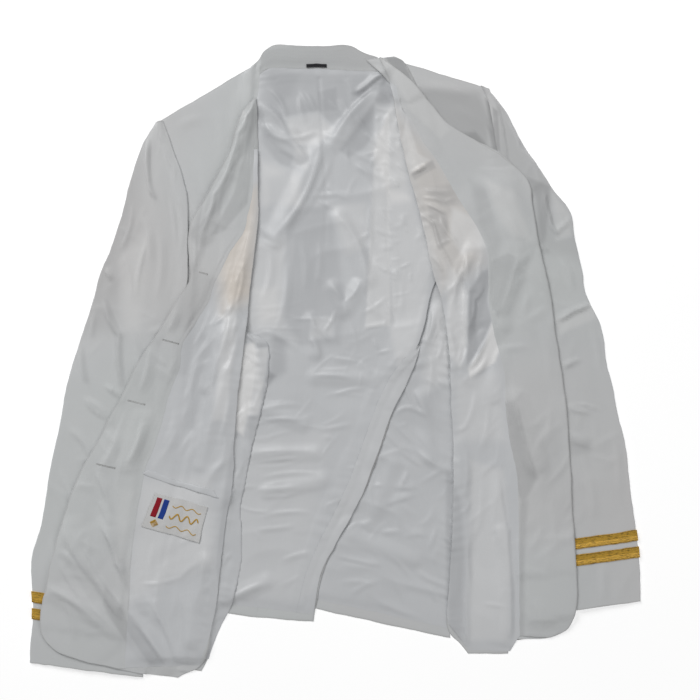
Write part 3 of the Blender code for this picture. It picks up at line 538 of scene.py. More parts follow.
FACING_RIGHT_PAINTED_LIGHT_SHADE = (
    (((-110, 290), (-101, 267), (-108, 221), (-136, 172), (-159, 134), (-168, 145), (-149, 198),
      (-122, 256)), -0.26, 5),
    (((-94, 297), (-103, 244), (-117, 193), (-143, 145), (-129, 149), (-101, 182), (-92, 244)), -0.26, 2),
    (((-106, 293), (-115, 256), (-124, 235), (-152, 180), (-156, 156), (-140, 180), (-115, 232),
      (-101, 279)), 0.24, 1.5),
    (((-249, -149), (-231, -149), (-240, -230), (-255, -230)), 0.24, 8),
    (((-264, -258), (-246, -280), (-237, -305), (-242, -322), (-267, -280)), -0.22, 2),
    (((-168, 115), (-138, 94), (-168, 36), (-191, 36)), -0.14, 6),
    (((-140, 96), (-162, 62), (-175, 30), (-190, -14), (-172, -16), (-156, 26), (-126, 90)), -0.14, 4),
    (((-214, 60), (-170, 60), (-180, -60), (-232, -60)), -0.06, 14),
)
LINING_RIGHT_PAINTED_LIGHT_SHADE = (
    (((-226, -137), (-145, -137), (-139, -230), (-240, -276)), 0.4, 12),
    (((-246, -280), (-226, -301), (-196, -350), (-214, -350), (-240, -310)), -0.22, 2),
    (((-126, 71), (-112, 48), (-126, -68), (-140, -68)), 0.5, 4),
    (((-156, 36), (-140, 25), (-161, -79), (-175, -79)), -0.14, 5),
    (((-119, -91), (-114, -91), (-126, -230), (-133, -264), (-138, -230)), -0.22, 2),
    (((-140, 96), (-162, 62), (-175, 30), (-190, -14), (-172, -16), (-156, 26), (-126, 90)), -0.14, 4),
)
STRIP_PAINTED_LIGHT_SHADE = (
    (((-107, 13), (-76, 16), (-80, -12), (-89, -62), (-114, -62)), 0.7, 2),
    (((-102, 38), (-88, 38), (-85, 33), (-99, 34)), -0.4, 1.5),
    (((-112, 18), (-92, 22), (-96, -36), (-106, -86), (-115, -79)), 1, 2.5),
    (((-92, 22), (-73, 20), (-78, -26), (-87, -22)), -0.3, 2),
    (((-101, -36), (-80, -26), (-85, -91), (-99, -103)), -0.16, 3),
)
SHOULDER_LEFT_PAINTED_LIGHT_SHADE = (
    (((55, 353), (77, 350), (94, 313), (85, 310), (70, 335)), -0.55, 2),
    (((79, 316), (167, 311), (179, 279), (176, 244), (149, 244), (121, 274)), -0.34, 6),
    (((174, 302), (181, 297), (188, 244), (181, 244)), -0.5, 1.5),
    (((142, 262), (162, 265), (179, 244), (160, 242)), -0.3, 2.5),
)
SLEEVE_LEFT_PAINTED_LIGHT_SHADE = (
    (((190, 290), (225, 232), (277, 175), (288, 115), (242, 128), (213, 198), (190, 232)), -0.16, 10),
    (((181, 293), (184, 244), (190, 242), (187, 288)), -0.4, 1.5),
    (((222, 212), (248, 202), (243, 146), (237, 115), (232, 186)), -0.28, 3),
    (((250, 195), (271, 170), (273, 145), (255, 140)), 0.36, 4),
    (((255, 48), (296, 67), (301, 50), (259, 31)), 0.32, 3),
    (((266, -86), (296, -91), (292, -105), (269, -109)), -0.2, 5),
)
SLEEVE_RIGHT_PAINTED_LIGHT_SHADE = (
    (((-249, 256), (-214, 244), (-231, 140), (-260, 36), (-289, 36), (-274, 152)), -0.2, 14),
    (((-267, 71), (-263, 73), (-246, 31), (-242, -30), (-250, -31), (-255, 25)), -0.11, 1.5),
    (((-249, 117), (-214, 152), (-226, 36), (-244, 36)), 0.28, 8),
    (((-290, 19), (-283, -25), (-290, -26), (-296, 13)), -0.1, 1.5),
    (((-216, 256), (-212, 256), (-213, 209), (-205, 186), (-214, 191)), -0.12, 1.5),
)
VENT_PAINTED_LIGHT_SHADE = (
    (((127, 140), (135, 115), (17, -230), (-41, -276), (-20, -160), (75, 36)), 0.16, 6),
)
STAND_PAINTED_LIGHT_SHADE = (
    (((-99, 371), (75, 371), (75, 325), (-99, 325)), -0.24, 4),
)
COLLAR_PAINTED_LIGHT_SHADE = SHOULDER_LEFT_PAINTED_LIGHT_SHADE[:1]

# Areas of creamier lining, with the same columns
LINING_RIGHT_CREAM = (
    (((-145, 186), (-91, 198), (-94, 75), (-129, 57), (-136, 115)), 1, 14),
)
LINING_LEFT_CREAM = (
    (((65, 293), (109, 244), (162, 186), (169, 115), (121, 82), (88, 186)), 0.5, 16),
)


# Noise and shapes


def value_noise(x, y, size, seed):
    """Smooth random heights from 0 to 1, with one draw for each square of the given size."""
    wrap = NOISE_SQUARES
    draws = np.random.default_rng(seed).random((wrap, wrap))
    u, v = x / size, y / size
    i, j = np.floor(u).astype(int), np.floor(v).astype(int)
    s, t = u - i, v - j
    s, t = s * s * s * (s * (6 * s - 15) + 10), t * t * t * (t * (6 * t - 15) + 10)
    i0, i1, j0, j1 = i % wrap, (i + 1) % wrap, j % wrap, (j + 1) % wrap
    low = draws[i0, j0] * (1 - s) + draws[i1, j0] * s
    high = draws[i0, j1] * (1 - s) + draws[i1, j1] * s
    return low * (1 - t) + high * t


def rumple(points, height, size, seed, angle=0.0, stretch=1.0, sharp=False):
    """Random relief. A stretched one runs along the angle, and a sharp one has crisp ridges."""
    turn = np.radians(angle)
    x = points[..., 0] * np.cos(turn) + points[..., 1] * np.sin(turn)
    y = points[..., 1] * np.cos(turn) - points[..., 0] * np.sin(turn)
    warp = value_noise(x, y, size * 2.1, seed + 7) - 0.5
    found = value_noise(x / stretch + warp * size, y + warp * size, size, seed)
    if sharp:
        return height * (1 - 2.4 * np.abs(2 * found - 1))
    return height * (found - 0.5)


def smooth_through(places, values, wanted):
    """A smooth curve through the values at their places."""
    slopes = np.gradient(values, places)
    found = np.clip(np.searchsorted(places, wanted) - 1, 0, len(places) - 2)
    width = places[found + 1] - places[found]
    t = (wanted - places[found]) / width
    start, end = values[found], values[found + 1]
    rise, fall = slopes[found] * width, slopes[found + 1] * width
    return (
        (2 * t**3 - 3 * t**2 + 1) * start
        + (t**3 - 2 * t**2 + t) * rise
        + (3 * t**2 - 2 * t**3) * end
        + (t**3 - t**2) * fall
    )


def spaced(length, cell):
    """Shares from 0 to 1 about one cell apart, closer together beside both ends."""
    count = max(4, int(round(length / cell)))
    near = EDGE_ROWS[EDGE_ROWS < length / 5] / length
    middle = np.linspace(0, 1, count + 1)
    last = near[-1] * 1.4 if len(near) else 0.0
    middle = middle[(middle > last) & (middle < 1 - last)]
    return np.unique(np.concatenate([[0], near, middle, 1 - near, [1]]))


def drawn_in(points):
    """A slight shift of every point, the same for all layers, so that no edge runs dead straight."""
    x, y = points[..., 0], points[..., 1]
    shift = [value_noise(x, y, 17.0, seed) + 0.6 * value_noise(x, y, 7.0, seed + 2) for seed in (1, 2)]
    return EDGE_DRIFT * (np.stack(shift, axis=-1) - 0.8)


class Panel:
    """The fine points of one panel, row by row from neck to hem, and its heights."""

    def __init__(self, sections, cell):
        sections = np.array(sections, float)
        steps = np.abs(np.diff(sections, axis=0)).sum(axis=1) / 2
        places = np.concatenate([[0.0], np.cumsum(steps)])
        rows = spaced(places[-1], cell) * places[-1]
        edges = np.stack([smooth_through(places, c, rows) for c in sections.T], axis=1)
        widths = np.linalg.norm(edges[:, 2:] - edges[:, :2], axis=1)
        share = spaced(widths.max(), cell)
        left, right, part = edges[:, None, :2], edges[:, None, 2:], share[None, :, None]
        self.flat = left * (1 - part) + right * part
        self.flat = self.flat + drawn_in(self.flat)
        self.share = share
        self.widths = widths
        run = np.linalg.norm(np.diff(self.flat, axis=0), axis=2).mean(axis=1)
        self.down = np.concatenate([[0.0], np.cumsum(run)])
        self.length = self.down[-1]
        self.across = share[None, :] * widths[:, None]
        self.from_left = self.across
        self.from_right = widths[:, None] - self.across
        self.from_top = self.down[:, None] + 0 * share[None, :]
        self.from_hem = self.length - self.from_top
        self.shape = self.flat.shape[:2]

    def from_edge(self):
        sides = (self.from_left, self.from_right, self.from_top, self.from_hem)
        return np.minimum.reduce(sides)

    def area(self):
        """Area of the flat panel in square metres."""
        a, b = self.flat[:-1, :-1], self.flat[1:, 1:]
        c, d = self.flat[:-1, 1:], self.flat[1:, :-1]
        cross = (b - a)[..., 0] * (d - c)[..., 1] - (b - a)[..., 1] * (d - c)[..., 0]
        return float(np.abs(cross).sum() / 2) * MM * MM

    def cut(self):
        """The greatest width of the flat panel, square to its length, and its length in metres."""
        rows = self.flat[:, -1] - self.flat[:, 0]
        middle = self.flat.mean(axis=1)
        run = np.gradient(middle, axis=0)
        run /= np.linalg.norm(run, axis=1, keepdims=True)
        square = np.abs(rows[:, 0] * run[:, 1] - rows[:, 1] * run[:, 0])
        return float(square.max()) * MM, float(self.length) * MM

    def at(self, down, across):
        """Places in millimetres and heights at distances down the panel and shares across it."""
        row = np.interp(down, self.down, np.arange(len(self.down)))
        column = np.interp(across, self.share, np.arange(len(self.share)))
        i = np.clip(row.astype(int), 0, self.shape[0] - 2)
        j = np.clip(column.astype(int), 0, self.shape[1] - 2)
        s, t = (row - i)[:, None], (column - j)[:, None]
        full = np.dstack([self.flat, self.top])
        low = full[i, j] * (1 - s) + full[i + 1, j] * s
        high = full[i, j + 1] * (1 - s) + full[i + 1, j + 1] * s
        return low * (1 - t) + high * t


def widened(sections, left=0.0, right=0.0):
    """The same sections with one edge or both let out, or drawn in where a number is under 0."""
    sections = np.array(sections, float)
    outward = sections[:, 2:] - sections[:, :2]
    outward /= np.linalg.norm(outward, axis=1, keepdims=True)
    return np.hstack([sections[:, :2] - outward * left, sections[:, 2:] + outward * right])


def lengthened(sections, top=0.0, hem=0.0):
    """The same sections with the first one, the last one or both moved outwards."""
    sections = np.array(sections, float)
    for end, inner, far in ((0, 1, top), (-1, -2, hem)):
        run = (sections[end] - sections[inner]).reshape(2, 2)
        run /= np.linalg.norm(run, axis=1, keepdims=True)
        sections[end] += far * run.ravel()
    return sections


def band_above_cuff(sections, low, high):
    """The sections of a stripe round a sleeve, between two distances up from its cuff."""
    sections = np.array(sections, float)[::-1]
    columns = []
    for x, y in ((0, 1), (2, 3)):
        steps = np.hypot(np.diff(sections[:, x]), np.diff(sections[:, y]))
        up = np.concatenate([[0.0], np.cumsum(steps)])
        columns += [np.interp([high, low], up, sections[:, c]) for c in (x, y)]
    return widened(np.stack(columns, axis=1), LACE_OVERHANG, LACE_OVERHANG)


def fold_lift(points, folds):
    """How far broad soft ridges raise the points. A ridge fades towards both of its ends."""
    lift = np.zeros(points.shape[:2])
    for x0, y0, x1, y1, height, half_width in folds:
        start, run = np.array([x0, y0]), np.array([x1 - x0, y1 - y0])
        along = ((points - start) @ run) / (run @ run)
        off = np.linalg.norm(points - start - np.clip(along, 0, 1)[..., None] * run, axis=-1)
        across = np.clip(1 - off / half_width, 0, 1)
        lift = np.maximum(lift, height * across**2 * (3 - 2 * across))
    return lift


def crease_lift(points, creases, crispness):
    """Creases along bowed lines: a long slope up and a short one down.

    A crease fades at both ends, but not where the next row starts from its end. The short
    slope faces the top left, or the bottom right where the height is negative.
    """
    lift, chain = np.zeros(points.shape[:2]), np.zeros(points.shape[:2])
    steps = np.linspace(0, 1, 13)
    rows = [tuple(float(v) for v in row) for row in creases]
    for number, (x0, y0, x1, y1, bow, height, half_width) in enumerate(rows):
        comes_in = number > 0 and rows[number - 1][2:4] == (x0, y0)
        goes_on = number + 1 < len(rows) and rows[number + 1][:2] == (x1, y1)
        start, run = np.array([x0, y0]), np.array([x1 - x0, y1 - y0])
        length = np.linalg.norm(run)
        side = np.array([-run[1], run[0]]) / length
        line = start + steps[:, None] * run + (4 * bow * steps * (1 - steps))[:, None] * side
        reach = 2.4 * half_width
        low, high = line.min(axis=0) - reach, line.max(axis=0) + reach
        near = ((points > low) & (points < high)).all(axis=-1)
        if near.any():
            here = points[near]
            a, leg = line[:-1], np.diff(line, axis=0)
            t = ((here[:, None] - a) * leg).sum(axis=-1) / (leg * leg).sum(axis=-1)
            t = np.clip(t, 0, 1)
            away = here[:, None] - a - t[..., None] * leg
            off = np.linalg.norm(away, axis=-1)
            nearest = off.argmin(axis=1)
            pick = np.arange(len(here)), nearest
            along = np.clip((nearest + t[pick]) / len(leg), 0.02, 0.98)
            fade = np.ones(len(here))
            if not comes_in:
                fade *= np.sin(np.pi * np.minimum(along, 0.5)) ** 0.7
            if not goes_on:
                fade *= np.sin(np.pi * np.minimum(1 - along, 0.5)) ** 0.7
            facing = (away[pick] @ side) * np.sign(side @ SHORT_SLOPE) * np.sign(height)
            share = np.where(facing > 0, SHORT_SHARE, LONG_SHARE)
            ratio = off[pick] / (share * half_width)
            soft = np.exp(-1.2 * ratio**2)
            tent = np.clip(1 - np.sqrt(ratio**2 + 0.01), 0, 1)
            rise = abs(height) * fade * (soft * (1 - crispness) + tent * crispness)
            chain[near] = np.maximum(chain[near], rise)
        if not goes_on:
            lift = np.maximum(lift, chain) + OVERLAP * np.minimum(lift, chain)
            chain[:] = 0.0
    return lift


def groove_lift(points, grooves):
    """Narrow grooves, as a seam or a pressed pleat makes. Columns as those of a crease."""
    lift = np.zeros(points.shape[:2])
    for x0, y0, x1, y1, _, depth, half_width in grooves:
        start, run = np.array([x0, y0], float), np.array([x1 - x0, y1 - y0], float)
        along = np.clip(((points - start) @ run) / (run @ run), 0, 1)
        off = np.linalg.norm(points - start - along[..., None] * run, axis=-1)
        lift += depth * np.exp(-((off / half_width) ** 2))
    return lift


def covered(points, corners, blur):
    """How far each point is inside a polygon, from 0 to 1, with a soft edge."""
    far = np.full(points.shape[:2], np.inf)
    inside = np.zeros(points.shape[:2], bool)
    x, y = points[..., 0], points[..., 1]
    for (x0, y0), (x1, y1) in zip(corners, corners[1:] + corners[:1]):
        start, run = np.array([x0, y0], float), np.array([x1 - x0, y1 - y0], float)
        along = np.clip(((points - start) @ run) / (run @ run), 0, 1)
        far = np.minimum(far, np.linalg.norm(points - start - along[..., None] * run, axis=-1))
        crossing = x0 + (y - y0) * run[0] / (run[1] or 1e-9)
        inside ^= ((y0 > y) != (y1 > y)) & (x < crossing)
    share = np.clip(np.where(inside, far, -far) / (2 * blur) + 0.5, 0, 1)
    return share * share * (3 - 2 * share)


def scattered(seed, count, spots, angle, spread, length, height, half_width):
    """Short creases in random places round a few spots of x, y and radius."""
    draw = np.random.default_rng(seed)
    rows = []
    for _ in range(count):
        x, y, radius = spots[draw.integers(len(spots))]
        x, y = x + draw.normal() * radius * 0.55, y + draw.normal() * radius * 0.55
        turn = np.radians(angle + draw.normal() * spread)
        half = length * draw.uniform(0.5, 1.5) / 2
        dx, dy = half * np.cos(turn), half * np.sin(turn)
        bow = draw.normal() * length * 0.08
        lift = height * draw.uniform(0.4, 1.2) * (1 if draw.random() < 0.75 else -1)
        wide = half_width * draw.uniform(0.7, 1.4)
        rows.append((x - dx, y - dy, x + dx, y + dy, bow, lift, wide))
    return tuple(rows)


class Pile:
    """The height of whatever lies highest over each place on the table, and what that is."""

    def __init__(self):
        side = int(2 * TABLE_HALF / RASTER) + 1
        self.top = np.full((side, side), -CLEARANCE)
        self.owner = np.full((side, side), -1)
        self.names = []

    def under(self, points, cells):
        """The highest top within a few raster cells of each point."""
        near = self.top
        for axis in (0, 1):
            near = np.maximum.reduce([np.roll(near, k, axis) for k in range(-cells, cells + 1)])
        return self.sampled(near, points)

    def sampled(self, field, points):
        u = (points + TABLE_HALF) / RASTER
        i = np.floor(u).astype(int)
        s, t = u[..., 0] - i[..., 0], u[..., 1] - i[..., 1]
        i, j = i[..., 0], i[..., 1]
        low = field[i, j] * (1 - s) + field[i + 1, j] * s
        high = field[i, j + 1] * (1 - s) + field[i + 1, j + 1] * s
        return low * (1 - t) + high * t

    def owners(self, points):
        """Names of the pieces that the points lie on, where each carries a fair share of them."""
        cell = np.rint((points.reshape(-1, 2) + TABLE_HALF) / RASTER).astype(int)
        found, counts = np.unique(self.owner[cell[:, 0], cell[:, 1]], return_counts=True)
        return [self.names[k] for k, n in zip(found, counts) if k >= 0 and n > 0.04 * len(cell)]

    def cover(self, name, flat, top):
        """Raises the pile to the top of a sheet that now lies on it."""
        full = np.dstack([flat, top])
        for axis in (0, 1):
            first = full if axis == 0 else full.transpose(1, 0, 2)
            quarters = [first[:-1] * (1 - k / 4) + first[1:] * (k / 4) for k in range(4)]
            dense = np.stack(quarters, axis=1).reshape(-1, *first.shape[1:])
            dense = np.concatenate([dense, first[-1:]])
            full = dense if axis == 0 else dense.transpose(1, 0, 2)
        cell = np.rint((full[..., :2] + TABLE_HALF) / RASTER).astype(int).reshape(-1, 2)
        height = full[..., 2].ravel()
        before = self.top.copy()
        np.maximum.at(self.top, (cell[:, 0], cell[:, 1]), height)
        self.names.append(name)
        self.owner[self.top > before + 1e-6] = len(self.names) - 1


def relaxed(heights):
    """Each height moved half way to the mean of its neighbours, as cloth evens itself out."""
    wide = np.pad(heights, 1, mode="edge")
    mean = (wide[:-2, 1:-1] + wide[2:, 1:-1] + wide[1:-1, :-2] + wide[1:-1, 2:]) / 4
    return (heights + mean) / 2


def settled(needed, lift, softness, sag):
    """A limp sheet let down until it touches what it needs to clear, with its folds kept."""
    heights = needed.copy()
    for _ in range(softness):
        heights = np.maximum(needed, relaxed(heights) - sag)
    return np.maximum(needed, relaxed(heights) + lift)


# Meshes


def mesh_object(name, points, quads, material, **layers):
    """An object of quads from points in millimetres, with a float or a vector for each point."""
    points = np.asarray(points, float) * MM
    quads = np.asarray(quads, int)
    mesh = bpy.data.meshes.new(name)
    mesh.vertices.add(len(points))
    mesh.vertices.foreach_set("co", points.ravel())
    mesh.loops.add(quads.size)
    mesh.loops.foreach_set("vertex_index", quads.ravel())
    mesh.polygons.add(len(quads))
    mesh.polygons.foreach_set("loop_start", np.arange(0, quads.size, 4))
    mesh.polygons.foreach_set("use_smooth", np.full(len(quads), True))
    mesh.update(calc_edges=True)
    mesh.validate()
    for layer, values in layers.items():
        values = np.asarray(values, float)
        kind, slot = ("FLOAT_VECTOR", "vector") if values.ndim == 2 else ("FLOAT", "value")
        mesh.attributes.new(layer, kind, "POINT").data.foreach_set(slot, values.ravel())
    mesh.materials.append(material)
    made = bpy.data.objects.new(name, mesh)
    bpy.context.scene.collection.objects.link(made)
    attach(made, BODY)
    return made


def grid_quads(rows, columns, first=0):
    """Quads of a grid of points, facing up where its columns run right and its rows run down."""
    at = first + np.arange(rows * columns).reshape(rows, columns)
    corners = (at[:-1, :-1], at[1:, :-1], at[1:, 1:], at[:-1, 1:])
    return np.stack([c.ravel() for c in corners], axis=1)


def rim(rows, columns):
    """The points round a grid, in order, starting at its first point and going down."""
    at = np.arange(rows * columns).reshape(rows, columns)
    return np.concatenate([at[:, 0], at[-1, 1:], at[-2::-1, -1], at[0, -2:0:-1]])


def faces_down(flat):
    a, b, c = flat[0, 0], flat[-1, 0], flat[-1, -1]
    return (b - a)[0] * (c - b)[1] - (b - a)[1] * (c - b)[0] < 0


def shell(name, panel, wall, material, rounding=1.6):
    """A closed thin shell under the panel's top, with soft folded edges."""
    rows, columns = panel.shape
    ease = 0.4 * wall * np.clip(1 - panel.from_edge() / rounding, 0, 1) ** 2
    upper = np.dstack([panel.flat, panel.top - ease]).reshape(-1, 3)
    lower = np.dstack([panel.flat, panel.top - wall + ease]).reshape(-1, 3)
    count = rows * columns
    edge = rim(rows, columns)
    after = np.roll(edge, -1)
    sides = np.stack([edge, edge + count, after + count, after], axis=1)
    quads = np.concatenate(
        [grid_quads(rows, columns), grid_quads(rows, columns, count)[:, ::-1], sides]
    )
    if faces_down(panel.flat):
        quads = quads[:, ::-1]
    weave = np.dstack([panel.across, panel.from_top, panel.top]).reshape(-1, 3) * MM
    edge_far = getattr(panel, "edge_far", np.full(panel.shape, 30.0)).clip(0, 30).ravel()
    # tint is the cream of aged lining; pale is painted light where over 0 and painted shade where under 0
    tint, pale = (getattr(panel, key, np.zeros(panel.shape)).ravel() for key in ("tint", "pale"))
    return mesh_object(
        name,
        np.concatenate([upper, lower]),
        quads,
        material,
        weave=np.concatenate([weave, weave]),
        edge=np.concatenate([edge_far, edge_far]),
        tint=np.concatenate([tint, tint]),
        pale=np.concatenate([pale, pale]),
    )


def tube(name, top, low, wall, material):
    """A flattened open tube: an upper wall and a lower one joined by a fold down each side."""
    rows, columns = top.shape
    outer_top, inner_top = top.top.copy(), top.top - wall
    outer_low, inner_low = low.top - wall, low.top.copy()
    middle = (inner_top + inner_low) / 2
    share = top.share
    width = top.widths[:, None]
    from_side = np.minimum(share, 1 - share)[None, :] * width
    half = np.maximum((outer_top - outer_low) / 2, wall)
    turn = np.clip(from_side / half, 0, 1)
    round_off = np.sqrt(np.clip(1 - (1 - turn) ** 2, 0, 1))
    centre = (outer_top + outer_low) / 2
    outer_top = centre + (outer_top - centre) * round_off
    outer_low = centre + (outer_low - centre) * round_off
    inward = np.clip(wall / width, 0, 0.2)
    inner_share = inward + (1 - 2 * inward) * share[None, :]
    first, last = top.flat[:, :1], top.flat[:, -1:]
    inner_flat = first * (1 - inner_share[..., None]) + last * inner_share[..., None]
    gap = np.clip(from_side / 4.0, 0.06, 1)
    inner_top = np.minimum(middle + (inner_top - middle) * gap, outer_top - 0.25 * wall)
    inner_low = np.maximum(middle + (inner_low - middle) * gap, outer_low + 0.25 * wall)
    inner_low = np.minimum(inner_low, inner_top - 0.05)

    def loop(upper, lower, flat):
        above = np.dstack([flat, upper])
        below = np.dstack([flat, lower])[:, ::-1]
        return np.concatenate([above, below[:, 1:-1]], axis=1)

    outer, inner = loop(outer_top, outer_low, top.flat), loop(inner_top, inner_low, inner_flat)
    round_count = outer.shape[1]
    at = np.arange(rows * round_count).reshape(rows, round_count)
    after = np.roll(at, -1, axis=1)
    skin = np.stack([at[:-1], at[1:], after[1:], after[:-1]], axis=-1).reshape(-1, 4)
    inside = skin[:, ::-1] + rows * round_count
    ends = []
    for row, turned in ((0, False), (rows - 1, True)):
        lip = np.stack([at[row], after[row], after[row] + at.size, at[row] + at.size], axis=1)
        ends.append(lip[:, ::-1] if turned else lip)
    quads = np.concatenate([skin, inside, *ends])
    if faces_down(top.flat):
        quads = quads[:, ::-1]
    down = np.repeat(top.down[:, None], round_count, axis=1)
    share_loop = np.concatenate([share, 2 - share[::-1][1:-1]])
    along = share_loop[None, :] * width
    weave = np.dstack([along, down, 0 * down]).reshape(-1, 3) * MM
    ends_far = np.clip(np.minimum(down, top.length - down), 0, 30).ravel()
    points = np.concatenate([outer.reshape(-1, 3), inner.reshape(-1, 3)])
    # The upper wall carries the painted light and painted shade of the pale value
    pale = np.zeros((2, rows, round_count))
    pale[0, :, :columns] = top.pale
    top.top = outer_top
    return mesh_object(
        name,
        points,
        quads,
        material,
        weave=np.concatenate([weave, weave]),
        edge=np.concatenate([ends_far, ends_far]),
        tint=np.zeros(len(points)),
        pale=pale.ravel(),
    )


def patch(name, panel, down, across, thickness, material, cell=1.2, reach=0.1):
    """A thin raised strip that follows a panel, between two distances down and shares across."""
    width = float(np.interp(np.mean(down), panel.down, panel.widths))
    rows = max(3, int((down[1] - down[0]) / cell) + 1)
    columns = max(3, int((across[1] - across[0]) * width / cell) + 1)
    d, a = np.meshgrid(np.linspace(*down, rows), np.linspace(*across, columns), indexing="ij")
    places = panel.at(d.ravel(), a.ravel()).reshape(rows, columns, 3)
    strip = Panel.__new__(Panel)
    strip.flat, strip.top = places[..., :2], places[..., 2] + thickness
    strip.shape = (rows, columns)
    strip.across, strip.from_top = a * width, d - down[0]
    sides = (a - across[0], across[1] - a)
    ends = (d - down[0], down[1] - d)
    far = np.minimum.reduce([sides[0] * width, sides[1] * width, *ends])
    strip.from_edge = lambda: far
    return shell(name, strip, thickness + reach, material, rounding=0.8)


def thread_mesh(name, lines, material, radius):
    """Short lengths of thread joined in one object. Each line is a few points in millimetres."""
    points, quads, count = [], [], 0
    turns = np.arange(THREAD_SIDES) * 2 * np.pi / THREAD_SIDES
    for line in lines:
        line = np.asarray(line, float)
        ahead = np.gradient(line, axis=0)
        ahead /= np.linalg.norm(ahead, axis=1, keepdims=True) + 1e-9
        beside = np.cross(ahead, [0, 0, 1.0])
        size = np.linalg.norm(beside, axis=1, keepdims=True)
        beside = np.where(size > 1e-3, beside / np.maximum(size, 1e-3), [1.0, 0, 0])
        above = np.cross(beside, ahead)
        swell = np.full(len(line), radius)
        swell[0] = swell[-1] = radius * 0.35
        ring = (
            line[:, None]
            + swell[:, None, None] * np.cos(turns)[None, :, None] * beside[:, None]
            + swell[:, None, None] * np.sin(turns)[None, :, None] * above[:, None]
        )
        points.append(ring.reshape(-1, 3))
        at = count + np.arange(len(line) * THREAD_SIDES).reshape(len(line), THREAD_SIDES)
        after = np.roll(at, -1, axis=1)
        quads.append(np.stack([at[:-1], after[:-1], after[1:], at[1:]], axis=-1).reshape(-1, 4))
        for ring_at in (at[0], at[-1][::-1]):
            quads.append(np.stack([ring_at[[0, 1, 2, 3]], ring_at[[0, 3, 4, 5]]]))
        count += len(line) * THREAD_SIDES
    return mesh_object(name, np.concatenate(points), np.concatenate(quads), material)


def stitches(name, route, material, length, gap, radius):
    """A row of thread stitches along a route of close points in millimetres."""
    route = np.asarray(route, float)
    steps = np.linalg.norm(np.diff(route, axis=0), axis=1)
    along = np.concatenate([[0.0], np.cumsum(steps)])
    starts = np.arange(gap, along[-1] - length, length + gap)
    lines = []
    rise = np.array([-0.3, 0.9, 1.2, 0.9, -0.3]) * radius - 0.05
    for start in starts:
        at = start + np.linspace(0, length, 5)
        line = np.stack([np.interp(at, along, c) for c in route.T], axis=1)
        line[:, 2] += rise
        lines.append(line)
    return thread_mesh(name, lines, material, radius)


# Materials

# The wavelength of a wave texture at scale 1, along its diagonal and along an axis
DIAGONAL_WAVE = 0.4443
AXIS_WAVE = 0.3142

# Colours of the lace. The brightest is the gold with a painted highlight on the rib crests; the dark one
# is both the weave's dark lines and painted shade in the grooves
LACE_HIGHLIGHT_GOLD = (1.0, 0.66, 0.10)
LACE_DEEP = (0.80, 0.42, 0.03)
LACE_DARK = (0.17, 0.085, 0.014)
LACE_RED = (0.30, 0.09, 0.02)


